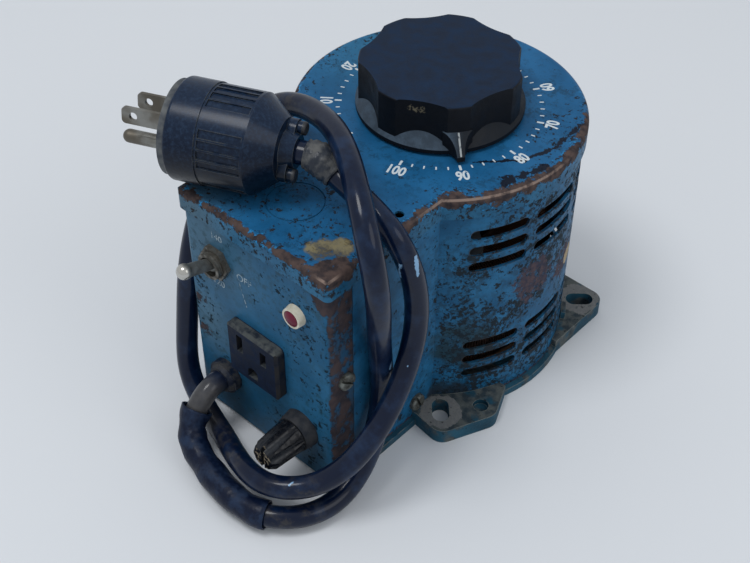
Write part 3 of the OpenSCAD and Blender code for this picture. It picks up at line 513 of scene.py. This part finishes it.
panel_ragged = panel.put("MapRange", panel.noise(5, 8, 0.72), 0.3, 0.7, 0.2, 1.0)
panel_rust = panel.ramp(panel.both(panel_foul, panel_ragged), 0.3, 0.37)
panel_scrape = panel.spots(((-1, panel_face, 79), 1, 4, 1.0), ((4.5, panel_face, 94), 0.5, 3, 1.0))
panel_chips = panel.either(
    freckles(panel, 1.4, 0.672, panel.ramp(panel.noise(22, 2), 0.4, 0.7)),
    freckles(panel, 2.4, 0.69, panel.ramp(panel.x, 0.0, 0.03)),
    panel.both(panel.ramp(panel.noise(1.6, 3, 0.6), 0.56, 0.58), panel_scrape),
)
panel_coat = panel.over(panel_chips, panel_coat, shade(20, 40, 52))
panel_brown = panel.over(panel.ramp(panel.noise(4, 4), 0.3, 0.7), shade(44, 42, 49), shade(72, 61, 62))
panel_coat = panel.over(panel_rust, panel_coat, panel_brown)
panel_lost = panel.either(panel_chips, panel_rust)
panel.show(
    panel_coat, panel.ramp(panel_lost, 0.0, 1.0, 0.45, 0.8),
    height=panel.calc("SUBTRACT", panel.both(panel_tone, 0.2), panel_lost), depth=0.1,
)
dress(panel, "front_panel")


def on_panel(x, z):
    """The place on the panel's face, with +Z pointing out of it and +Y up."""
    return Matrix.Translation(Vector((x, panel_face, z)) * mm) @ Matrix.Rotation(math.pi / 2, 4, "X")


faint = Finish("faint_ink", Roughness=0.6)
faint_lost = faint.ramp(faint.noise(1.8, 4, 0.6), 0.46, 0.58)
faint.show(faint.over(faint_lost, shade(150, 168, 178), shade(52, 92, 118)))
switch_marks = [laid(lettered(words, height, 0.0), on_panel(x, z)) for words, height, x, z in (
    ("140", 3.0, -19.4, 98.2), ("120", 3.2, -20.4, 75.2), ("OFF", 3.2, -5.7, 85.2),
)]
guide_slant = math.radians(-74)
guide = laid(dash(length=11.6, width=0.3), on_panel(-7.0, 77.2) @ Matrix.Rotation(guide_slant, 4, "Z"))
fitted(joined([*switch_marks, guide]), "switch_marks", faint, "case")

# Case screws
# Four slotted screws of zinc-plated steel, gone dull and dirty. Two hold the panel's flanges to the lips of
# the wall, and two hold the foot of the wall to the base.


def pick_edges(piece, wanted):
    """Leaves edit mode on with just those edges selected whose middle passes the test."""
    only(piece)
    bpy.ops.object.mode_set(mode="EDIT")
    bpy.ops.mesh.select_mode(type="EDGE")
    bpy.ops.mesh.select_all(action="DESELECT")
    bpy.ops.object.mode_set(mode="OBJECT")
    points = piece.data.vertices
    for edge in piece.data.edges:
        start, end = [points[v].co for v in edge.vertices]
        edge.select = wanted((start + end) / 2)
    bpy.ops.object.mode_set(mode="EDIT")


def slotted_screw(head, rise, slot):
    """A round slotted screw head standing on the XY plane."""
    middle = (0, 0, rise * mm / 2)
    add = bpy.ops.mesh.primitive_cylinder_add
    screw = laid(fresh(add, vertices=32, radius=head * mm, depth=rise * mm, location=middle))
    pick_edges(screw, lambda spot: spot.z > 0.9 * rise * mm and spot.xy.length > 0.9 * head * mm)
    bpy.ops.mesh.bevel(offset=0.5 * rise * mm, segments=4, affect="EDGES")
    bpy.ops.object.mode_set(mode="OBJECT")
    cutter = fresh(bpy.ops.mesh.primitive_cube_add, size=1.0)
    cutter.scale = (3 * head * mm, slot * mm, rise * mm)
    cutter.location.z = rise * mm
    cut = only(screw).modifiers.new("slot", "BOOLEAN")
    cut.operation, cut.object = "DIFFERENCE", cutter
    bpy.ops.object.modifier_apply(modifier="slot")
    bpy.data.objects.remove(cutter)
    bpy.ops.object.shade_smooth_by_angle(angle=crease)
    return screw


zinc = Finish("dull_zinc", Metallic=0.65)
zinc_dirt = zinc.ramp(zinc.noise(2.5, 5, 0.62), 0.38, 0.66)
zinc_coat = zinc.over(zinc_dirt, shade(112, 116, 112), shade(62, 62, 58))
zinc.show(zinc_coat, zinc.ramp(zinc_dirt, 0.0, 1.0, 0.42, 0.7), height=zinc.noise(1, 3), depth=0.05)
screw = slotted_screw(head=3.8, rise=2.2, slot=1.1)
box_half, on_flange, on_foot = 37.4, (-94.4, 57), (-53.5, 11.2)
for name, side, spot, slant in (
    ("flange_screw_right", 1, on_flange, 50), ("foot_screw_right", 1, on_foot, 20),
    ("flange_screw_left", -1, on_flange, 110), ("foot_screw_left", -1, on_foot, 75),
):
    sideways = Matrix.Rotation(side * math.pi / 2, 4, "Y")
    place = Matrix.Translation(Vector((side * box_half, *spot)) * mm) @ sideways
    placed = twin(screw, place @ Matrix.Rotation(math.radians(slant), 4, "Z"))
    fitted(placed, name, zinc, "case")
bpy.data.objects.remove(screw)

# Dial knob
# A scalloped moulding of black phenolic on a round skirt, with a wedge pointer filled with white.
# Its top has gone matt and is blue-grey, partly with dust and partly a painted sheen of the pale surround,
# and grey dirt lies on the skirt between the lobes.

knob = Finish("dusty_phenolic", Specular_IOR_Level=0.15)
knob_top = knob.both(knob.ramp(knob.nz, 0.5, 0.9), knob.ramp(knob.z, 0.128, 0.13))
knob_skirt = knob.both(knob.ramp(knob.nz, 0.3, 0.6), knob.ramp(knob.z, 0.128, 0.126))
knob_dust = knob.ramp(knob.noise(5, 5, 0.65), 0.35, 0.7)
knob_coat = knob.over(knob.noise(3, 4), shade(13, 15, 20), shade(21, 24, 30))
# The top's blue-grey is dust, and partly a painted sheen of the pale surround.
knob_top_dust_and_sheen = knob.over(knob_dust, shade(10, 28, 50), shade(19, 40, 66))
knob_coat = knob.over(knob_top, knob_coat, knob_top_dust_and_sheen)
knob_across = knob.put("VectorMath", knob.place, (0.74, 0.67, 0.0), out=1, operation="DOT_PRODUCT")
knob_side = knob.ramp(knob_across, 0.001, 0.008, 0.95, 0.1)
knob_side = knob.both(knob_side, knob.ramp(knob_dust, 0.0, 1.0, 0.6, 1.0))
knob_coat = knob.over(knob.both(knob_skirt, knob_side), knob_coat, shade(70, 86, 102))
knob_scuff = stroke(knob, (8.6, -28.2, 130.6), (13.2, -26.0, 129.9), 1.3)
knob_scuff = knob.both(knob_scuff, knob.ramp(knob.noise(1.2, 6, 0.75), 0.48, 0.56))
knob_coat = knob.over(knob_scuff, knob_coat, shade(106, 100, 84))
knob_rough = knob.ramp(knob_dust, 0.0, 1.0, 0.42, 0.62)
knob.show(knob_coat, knob_rough, height=knob.noise(0.7, 2), depth=0.03)
dress(knob, "knob")

pointer_turn, pointer_middle = math.radians(-38), Vector((35.2, 0, 119.5))
line_length, line_width = 9.0, 0.7
slope, across = Vector((6.4, 0, -7)).normalized(), Vector((0, 1, 0))
tilted = Matrix((slope, across, slope.cross(across))).transposed().to_4x4()
line_place = Matrix.Rotation(pointer_turn, 4, "Z") @ Matrix.Translation(pointer_middle * mm) @ tilted
paste = Finish("pointer_white", Roughness=0.6)
paste_lost = paste.ramp(paste.noise(1.6, 4, 0.6), 0.5, 0.64)
paste.show(paste.over(paste_lost, shade(158, 164, 166), shade(74, 80, 88)))
fitted(laid(dash(line_length, line_width), line_place), "pointer_line", paste, "dial")

# Toggle switch
# A bat-handle switch of nickel-plated brass: a threaded bush through the panel, a hexagon nut and a round
# lever. The plating has gone brown and dull, and only the lever's rounded end is still bright, its pale
# colour partly a painted highlight.

plate = Finish("tired_nickel", Metallic=0.7)
plate_dirt = plate.ramp(plate.noise(2.5, 5, 0.6), 0.36, 0.64)
plate_coat = plate.over(plate_dirt, shade(112, 110, 104), shade(84, 81, 75))
plate.show(plate_coat, plate.ramp(plate_dirt, 0.0, 1.0, 0.4, 0.75), height=plate.noise(1.0, 3), depth=0.05)
dress(plate, "switch_body", "switch_nut")

switch_x, switch_z = -20, 86.2
thread_radius, thread_start, thread_pitch, thread_turns, ridge_size = 5.35, 2.7, 0.75, 2, 0.4
ridge = fresh(bpy.ops.mesh.primitive_circle_add, vertices=3, radius=ridge_size * mm, fill_type="NOTHING")
laid(ridge, Matrix.Rotation(math.pi / 2, 4, "X"))
ridge.data.transform(Matrix.Translation((thread_radius * mm, 0, thread_start * mm)))
coiled = only(ridge).modifiers.new("thread", "SCREW")
coiled.axis, coiled.angle = "Z", 2 * math.pi
coiled.screw_offset, coiled.iterations = thread_pitch * mm, thread_turns
coiled.steps = coiled.render_steps = 40
bpy.ops.object.modifier_apply(modifier="thread")
bpy.ops.object.mode_set(mode="EDIT")
bpy.ops.mesh.select_all(action="SELECT")
bpy.ops.mesh.normals_make_consistent(inside=False)
bpy.ops.object.mode_set(mode="OBJECT")
fitted(laid(ridge, on_panel(switch_x, switch_z)), "bush_thread", plate, "case")

lever = Finish("lever_nickel", Metallic=0.75)
lever_end = lever.ramp(lever.y, -0.1172, -0.119)
lever_dirt = lever.ramp(lever.noise(2.5, 5, 0.6), 0.3, 0.7)
lever_coat = lever.over(lever_dirt, shade(128, 130, 128), shade(98, 99, 96))
# The rounded end is painted pale: clean plating, and partly a painted highlight on the ball.
lever_coat = lever.over(lever_end, lever_coat, shade(190, 188, 182))
lever.show(lever_coat, lever.ramp(lever_end, 0.0, 1.0, 0.55, 0.2))
dress(lever, "switch_lever")

# Pilot lamp
# A bezel of ivory plastic pressed into the panel, with a flat lens of dark red plastic snapped into it.
# The ivory has yellowed a little, and the lens is dull.

ivory = Finish("aged_ivory", Roughness=0.45)
ivory_age = ivory.ramp(ivory.noise(3, 4), 0.3, 0.7)
ivory.show(ivory.over(ivory_age, shade(190, 184, 164), shade(216, 211, 196)))
dress(ivory, "lamp_bezel")

red = Finish("red_lens", Roughness=0.3, Specular_IOR_Level=0.25)
red.show(red.over(red.noise(2, 3), shade(88, 18, 42), shade(108, 28, 54)))
dress(red, "lamp_lens")

# Outlet
# A grounded outlet moulded in black phenolic and clipped through the panel.
# Its bevels and the rims of its slots are rubbed grey, paler on the upward bevels as a painted highlight,
# and its face is dusty.

outlet = Finish("outlet_phenolic", Specular_IOR_Level=0.1)
outlet_dust = outlet.ramp(outlet.noise(3, 5, 0.65), 0.35, 0.7)
outlet_bevel = outlet.ramp(outlet.calc("ABSOLUTE", outlet.ny), 0.97, 0.9)
outlet_proud = outlet.ramp(outlet.y, -0.1025, -0.103)
outlet_coat = outlet.over(outlet_dust, shade(8, 19, 38), shade(18, 32, 55))
outlet_rub = outlet.both(outlet_bevel, outlet_proud)
outlet_rub = outlet.both(outlet_rub, outlet.ramp(outlet.noise(3, 5, 0.62), 0.3, 0.62, 0.2, 1.0))
# The rubbed grey is paler on upward bevels and darker on downward ones: a painted highlight on the rub.
outlet_rub_and_highlight = outlet.over(outlet.ramp(outlet.nz, 0.2, 0.8), shade(42, 42, 44), shade(78, 82, 82))
outlet_coat = outlet.over(outlet_rub, outlet_coat, outlet_rub_and_highlight)
outlet_rough = outlet.ramp(outlet_dust, 0.0, 1.0, 0.45, 0.65)
outlet.show(outlet_coat, outlet_rough, height=outlet.noise(0.9, 3), depth=0.04)
dress(outlet, "outlet")

# Fuse post
# A fuse holder of black phenolic screwed into the panel: a plain collar gone grey, and a fluted cap with a
# slotted nose that turns to free the fuse. The nose is scraped pale, and dust lies in the flutes.

collar = Finish("fuse_collar_phenolic", Roughness=0.6, Specular_IOR_Level=0.2)
collar_coat = collar.over(collar.ramp(collar.noise(4, 5), 0.3, 0.7), shade(28, 33, 41), shade(56, 57, 60))
collar.show(collar_coat, height=collar.noise(1, 3), depth=0.05)
dress(collar, "fuse_post")

flute = Finish("fuse_cap_phenolic", Specular_IOR_Level=0.3)
flute_wear = flute.ramp(flute.noise(2.4, 5, 0.65), 0.45, 0.62)
fuse_axis = Vector((21.5, 0, 24.8))
flute_level = flute.put("CombineXYZ", flute.x, 0.0, flute.z)
flute_off = flute.put("VectorMath", flute_level, fuse_axis * mm, out=1, operation="DISTANCE")
flute_front = flute.calc("ABSOLUTE", flute.ny)
flute_deep = flute.both(flute.ramp(flute_off, 0.0068, 0.0056), flute.ramp(flute_front, 0.6, 0.4))
flute_nose = flute.both(flute.ramp(flute_front, 0.6, 0.8), flute.ramp(flute.noise(1.5, 4, 0.6), 0.5, 0.6))
flute_coat = flute.over(flute.both(flute_deep, 0.8), shade(10, 13, 20), shade(36, 40, 46))
flute_coat = flute.over(flute.both(flute_nose, 0.8), flute_coat, shade(150, 138, 118))
flute.show(flute_coat, flute.ramp(flute_wear, 0.0, 1.0, 0.25, 0.5))
dress(flute, "fuse_cap")

# Gland and mains cord
# The cord leaves a rubber bush in the panel, is bundled twice round the box and ends in the plug on the cap.
# Its smooth jacket of black rubber is still glossy, with some grime and dried splashes of pale blue paint.

gland = Finish("gland_rubber", Specular_IOR_Level=0.25)
gland_dust = gland.ramp(gland.noise(3, 5, 0.65), 0.4, 0.65)
gland_coat = gland.over(gland.both(gland_dust, 0.8), shade(16, 26, 44), shade(66, 66, 66))
gland.show(gland_coat, gland.ramp(gland_dust, 0.0, 1.0, 0.4, 0.75))
dress(gland, "cord_gland")

plug_turn = math.radians(204)
plug_way = Vector((math.cos(plug_turn), math.sin(plug_turn), 0))
plug_rear = Vector((-6.4, -77.7, 131.6))
route = [Vector(p) for p in (
    (-20, -107.4, 24.8), (-20, -114, 24.8), (-20, -121, 19), (-18.5, -126, 12.5), (-13, -129.5, 7.4),
    (0, -133, 6.8), (16, -136, 6.8), (32, -134, 6.8), (43.5, -122, 6), (46.5, -105.5, 5.2), (45, -89, 16),
    (42.3, -79, 35), (42.3, -80, 57), (46, -86, 80), (51, -91, 104), (47, -92, 127),
    (30, -80, 138), (8, -64, 138), (-14, -54, 132), (-36, -52, 126), (-46.5, -67, 112),
    (-48, -84, 90), (-45.4, -97, 66), (-43.4, -102, 40), (-41, -108, 17), (-28, -111, 6),
    (-8, -117, 7), (10, -126.5, 15.5), (28, -130, 18.5), (42, -119, 19), (51, -106, 29),
    (53.5, -91.5, 43), (52.4, -77.7, 58.7), (50, -69, 76), (49.5, -70, 98), (45, -75, 119),
    (29, -73, 124), (14, -71, 125),
)] + [plug_rear - 13 * plug_way, plug_rear - 5 * plug_way]


def flowing(points, steps):
    """The smooth line that the cord takes along its route's points, in metres."""
    held = [2 * points[0] - points[1], *points, 2 * points[-1] - points[-2]]
    line = []
    for i in range(len(points) - 1):
        a, b, c, d = held[i:i + 4]
        for k in range(steps):
            t = k / steps
            line.append((
                a * (1 - t) ** 3 + b * (3 * t ** 3 - 6 * t * t + 4)
                + c * (1 + 3 * t + 3 * t * t - 3 * t ** 3) + d * t ** 3
            ) / 6)
    return [p * mm for p in [*line, points[-1]]]


def swept(name, line, radii, caps):
    """A tube of those radii along a line, as a mesh."""
    curve = bpy.data.curves.new(name, "CURVE")
    curve.dimensions = "3D"
    curve.bevel_depth, curve.bevel_resolution, curve.use_fill_caps = 1.0, 6, caps
    spline = curve.splines.new("POLY")
    spline.points.add(len(line) - 1)
    for point, place, radius in zip(spline.points, line, radii):
        point.co, point.radius = (*place, 1.0), radius
    piece = bpy.data.objects.new(name, curve)
    bpy.context.scene.collection.objects.link(piece)
    only(piece)
    bpy.ops.object.convert(target="MESH")
    bpy.ops.object.shade_smooth()
    return bpy.context.object


steps, cord_radius = 10, 4.5
cord_line = flowing(route, steps)
cord = swept("mains_cord", cord_line, [cord_radius * mm] * len(cord_line), True)
jacket = Finish("cord_rubber", Specular_IOR_Level=0.08, Coat_Weight=0.5, Coat_Roughness=0.13, Coat_IOR=1.45)
jacket_dust = jacket.ramp(jacket.noise(11, 6, 0.62), 0.46, 0.74)
# The base and dust colours are tinted blue: the rubber's own navy, and partly a painted bluish reflection.
jacket_coat = jacket.over(jacket.both(jacket_dust, 0.35), shade(4, 18, 43), shade(40, 68, 106))
jacket_grey = jacket.over(jacket.noise(3, 4), shade(52, 54, 58), shade(96, 94, 92))
jacket_coat = jacket.over(jacket.spots(((-20, -119, 21), 7, 15, 0.8)), jacket_coat, jacket_grey)
jacket_paint = jacket.either(*[stroke(jacket, start, end, half) for start, end, half in (
    ((47.6, -76.8, 109.5), (46.6, -76.4, 103.0), 1.0), ((50.4, -71.6, 111.5), (52.0, -72.8, 104.6), 1.0),
    ((47.8, -81.0, 64.0), (48.2, -81.4, 59.0), 0.5), ((54.5, -79.0, 66.0), (54.3, -79.2, 64.6), 0.5),
    ((36.7, -124.9, 22.7), (37.3, -123.1, 23.9), 0.5),
)])
jacket_grime = jacket.spots(
    ((-2, -126, 12), 8, 24, 1.0), ((40, -128, 14), 6, 22, 1.0), ((-38, -54, 128), 8, 30, 1.0),
)
jacket_grime = jacket.both(jacket_grime, jacket.ramp(jacket.noise(5, 6, 0.7), 0.46, 0.66, 0.0, 0.6))
jacket_coat = jacket.over(jacket_grime, jacket_coat, shade(62, 60, 58))
jacket_coat = jacket.over(jacket_paint, jacket_coat, shade(128, 168, 204))
jacket_rough = jacket.ramp(jacket_dust, 0.0, 1.0, 0.34, 0.6)
jacket.show(jacket_coat, jacket_rough, height=jacket.noise(3, 3), depth=0.08)
fitted(cord, "mains_cord", jacket, "case")
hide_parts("cord")

# Cord sleeve and film wrap
# A loose sleeve of black rubber, flared at its mouth, is slid onto the cord near the gland and is dusty.
# A scrap of grey film is wound round the cord at the plug. Both hold by their own grip.


def walled(piece, thickness):
    """Gives a tube's skin its thickness, inwards."""
    skin = piece.modifiers.new("skin", "SOLIDIFY")
    skin.thickness, skin.offset = thickness * mm, -1.0
    bpy.ops.object.modifier_apply(modifier="skin")
    return piece


sleeve_start, sleeve_end = 2, 7
sleeve_line = cord_line[sleeve_start * steps:sleeve_end * steps + 1]
sleeve_radius, sleeve_flare, sleeve_sag, sleeve_wall = 5.7, 0.9, 0.35, 0.7
sleeve_radii = [
    (
        sleeve_radius + sleeve_flare * max(0, 1 - i / 6)
        + sleeve_sag * math.sin(i * 0.55) * math.sin(i * 0.17)
    ) * mm
    for i in range(len(sleeve_line))
]
sleeve = walled(swept("cord_sleeve", sleeve_line, sleeve_radii, False), sleeve_wall)
sheath = Finish("sleeve_rubber", Specular_IOR_Level=0.2)
sheath_dust = sheath.ramp(sheath.noise(6, 6, 0.65), 0.4, 0.7)
sheath_coat = sheath.over(sheath_dust, shade(8, 19, 42), shade(32, 48, 74))
sheath.show(sheath_coat, sheath.ramp(sheath_dust, 0.0, 1.0, 0.34, 0.62), height=sheath.noise(8, 4), depth=0.9)
fitted(sleeve, "cord_sleeve", sheath, "case")

wrap_start, wrap_end = -19, -4
wrap_line = cord_line[wrap_start:wrap_end]
wrap_radius, wrap_bulge, wrap_crumple, wrap_wall = 5.3, 1.0, 0.3, 0.5
wrap_last = len(wrap_line) - 1
wrap_radii = [
    (wrap_radius + wrap_bulge * math.sin(math.pi * i / wrap_last) + wrap_crumple * math.sin(2.3 * i)) * mm
    for i in range(len(wrap_line))
]
wrap = walled(swept("cord_wrap", wrap_line, wrap_radii, False), wrap_wall)
film = Finish("dusty_film", Specular_IOR_Level=0.3)
film_dust = film.ramp(film.noise(5, 6, 0.65), 0.38, 0.66)
film_coat = film.over(film_dust, shade(40, 46, 56), shade(90, 91, 91))
film.show(film_coat, film.ramp(film_dust, 0.0, 1.0, 0.3, 0.65), height=film.noise(4, 4), depth=1.0)
fitted(wrap, "cord_wrap", film, "case")

# Plug
# A heavy plug moulded in black rubber, with a ribbed grip and a smooth collar. A grey fibre disc on its face
# carries two brass blades and a ground pin, and two screws draw a clamp across the cord at its rear.

rubber = Finish("plug_rubber", Specular_IOR_Level=0.08, Coat_Weight=0.35, Coat_Roughness=0.2, Coat_IOR=1.45)
rubber_dust = rubber.ramp(rubber.noise(1.3, 6, 0.7), 0.42, 0.7)
rubber_coat = rubber.over(rubber.both(rubber_dust, 0.26), shade(5, 18, 38), shade(52, 78, 108))
# Darker towards the bottom: painted shade on the plug's underside.
rubber_coat = rubber.over(rubber.ramp(rubber.z, 0.14, 0.122, 0.0, 0.75), rubber_coat, shade(6, 9, 14))
# Paler on upward faces: dust, and partly a painted sheen.
rubber_coat = rubber.over(rubber.ramp(rubber.nz, 0.1, 0.9, 0.0, 0.12), rubber_coat, shade(52, 80, 116))
rubber_worn = rubber.both(rubber.edge(0.5), rubber.ramp(rubber.noise(6, 4), 0.32, 0.56))
rubber_coat = rubber.over(rubber.both(rubber_worn, 0.75), rubber_coat, shade(88, 91, 90))
rubber_rough = rubber.ramp(rubber_dust, 0.0, 1.0, 0.3, 0.5)
rubber.show(rubber_coat, rubber_rough, height=rubber.noise(1.6, 4), depth=0.05)
dress(rubber, "plug_body", "cord_clamp")

disc = Finish("plug_fibre", Roughness=0.7)
disc_coat = disc.over(disc.ramp(disc.noise(4, 5), 0.3, 0.7), shade(42, 50, 62), shade(92, 96, 98))
disc.show(disc_coat, height=disc.noise(1, 3), depth=0.05)
dress(disc, "plug_face")

plug_roll, clamp_turn = math.radians(11), math.radians(34)
clamp_reach, clamp_face = 8.5, -5


def on_plug(along):
    """The place on the plug's axis that far from its rear, with +Z towards the face."""
    spun = Matrix.Rotation(plug_turn, 4, "Z") @ Matrix.Rotation(math.pi / 2, 4, "Y")
    spun = spun @ Matrix.Rotation(plug_roll, 4, "Z")
    return Matrix.Translation(plug_rear * mm) @ spun @ Matrix.Translation((0, 0, along * mm))


clamp_screw = slotted_screw(head=2.5, rise=1.3, slot=0.8)
blued = Finish("blued_steel", Metallic=0.4)
blued_coat = blued.over(blued.noise(2, 5), shade(22, 26, 34), shade(60, 62, 66))
blued.show(blued_coat, blued.ramp(blued.noise(3), 0.3, 0.7, 0.4, 0.6))
for name, side in (("clamp_screw_high", -1), ("clamp_screw_low", 1)):
    place = on_plug(clamp_face) @ Matrix.Rotation(clamp_turn, 4, "Z")
    place = place @ Matrix.Translation((side * clamp_reach * mm, 0, 0)) @ Matrix.Rotation(math.pi, 4, "X")
    placed = twin(clamp_screw, place)
    fitted(placed, name, blued, "case")
bpy.data.objects.remove(clamp_screw)

prong = Finish("tarnished_brass", Metallic=0.8)
prong_stain = prong.ramp(prong.noise(9, 4, 0.5), 0.35, 0.65)
prong_coat = prong.over(prong_stain, shade(138, 138, 134), shade(104, 99, 90))
prong.show(prong_coat, prong.ramp(prong_stain, 0.0, 1.0, 0.34, 0.5))
dress(prong, "line_blade", "neutral_blade", "ground_pin")

# Studio
# A plain pale floor and a pale surround, lit by two broad soft lamps. The camera stands where the photograph
# was taken from, with the same angle of view.

scene = bpy.context.scene
scene.view_settings.view_transform = "Standard"
floor = fresh(bpy.ops.mesh.primitive_plane_add, size=8.0)
floor.name = "floor"
ground = Finish("pale_floor", Roughness=0.9)
ground.shader.inputs["Base Color"].default_value = (0.72, 0.75, 0.79, 1.0)
floor.data.materials.append(ground.material)

world = bpy.data.worlds.new("surround")
scene.world = world
world.use_nodes = True
back = world.node_tree.nodes["Background"]
back.inputs["Strength"].default_value = 0.6
back.inputs["Color"].default_value = (0.94, 0.97, 1.0, 1.0)


def lamp(name, place, aim, size, power):
    """A soft round lamp in its place, turned to what it lights."""
    light = bpy.data.lights.new(name, "AREA")
    light.shape, light.size, light.energy = "DISK", size, power
    holder = bpy.data.objects.new(name, light)
    facing = (Vector(aim) - Vector(place)).to_track_quat("-Z", "Y").to_matrix().to_4x4()
    holder.matrix_world = Matrix.Translation(place) @ facing
    scene.collection.objects.link(holder)


lamp("overhead", (-0.15, -0.45, 1.25), (0, -0.05, 0.05), 0.5, 5.5)
lamp("side_fill", (1.0, 0.1, 0.8), (0, -0.05, 0.06), 0.7, 1.8)

view = bpy.data.cameras.new("photo_view")
sensor, focal_pixels, photo_pixels = 36.0, 1322.55, 750
view.sensor_width, view.lens, view.clip_start = sensor, sensor * focal_pixels / photo_pixels, 0.01
eye = bpy.data.objects.new("photo_view", view)
right, up = Vector((0.73792, 0.67490, 0.00348)), Vector((-0.46719, 0.50707, 0.72432))
ahead = Vector((-0.48707, 0.53610, -0.68947))
eye_place = Vector((265.7, -329.8, 419.2))
eye.matrix_world = Matrix.Translation(eye_place * mm) @ Matrix((right, up, -ahead)).transposed().to_4x4()
scene.collection.objects.link(eye)
scene.camera = eye

bpy.context.view_layer.update()
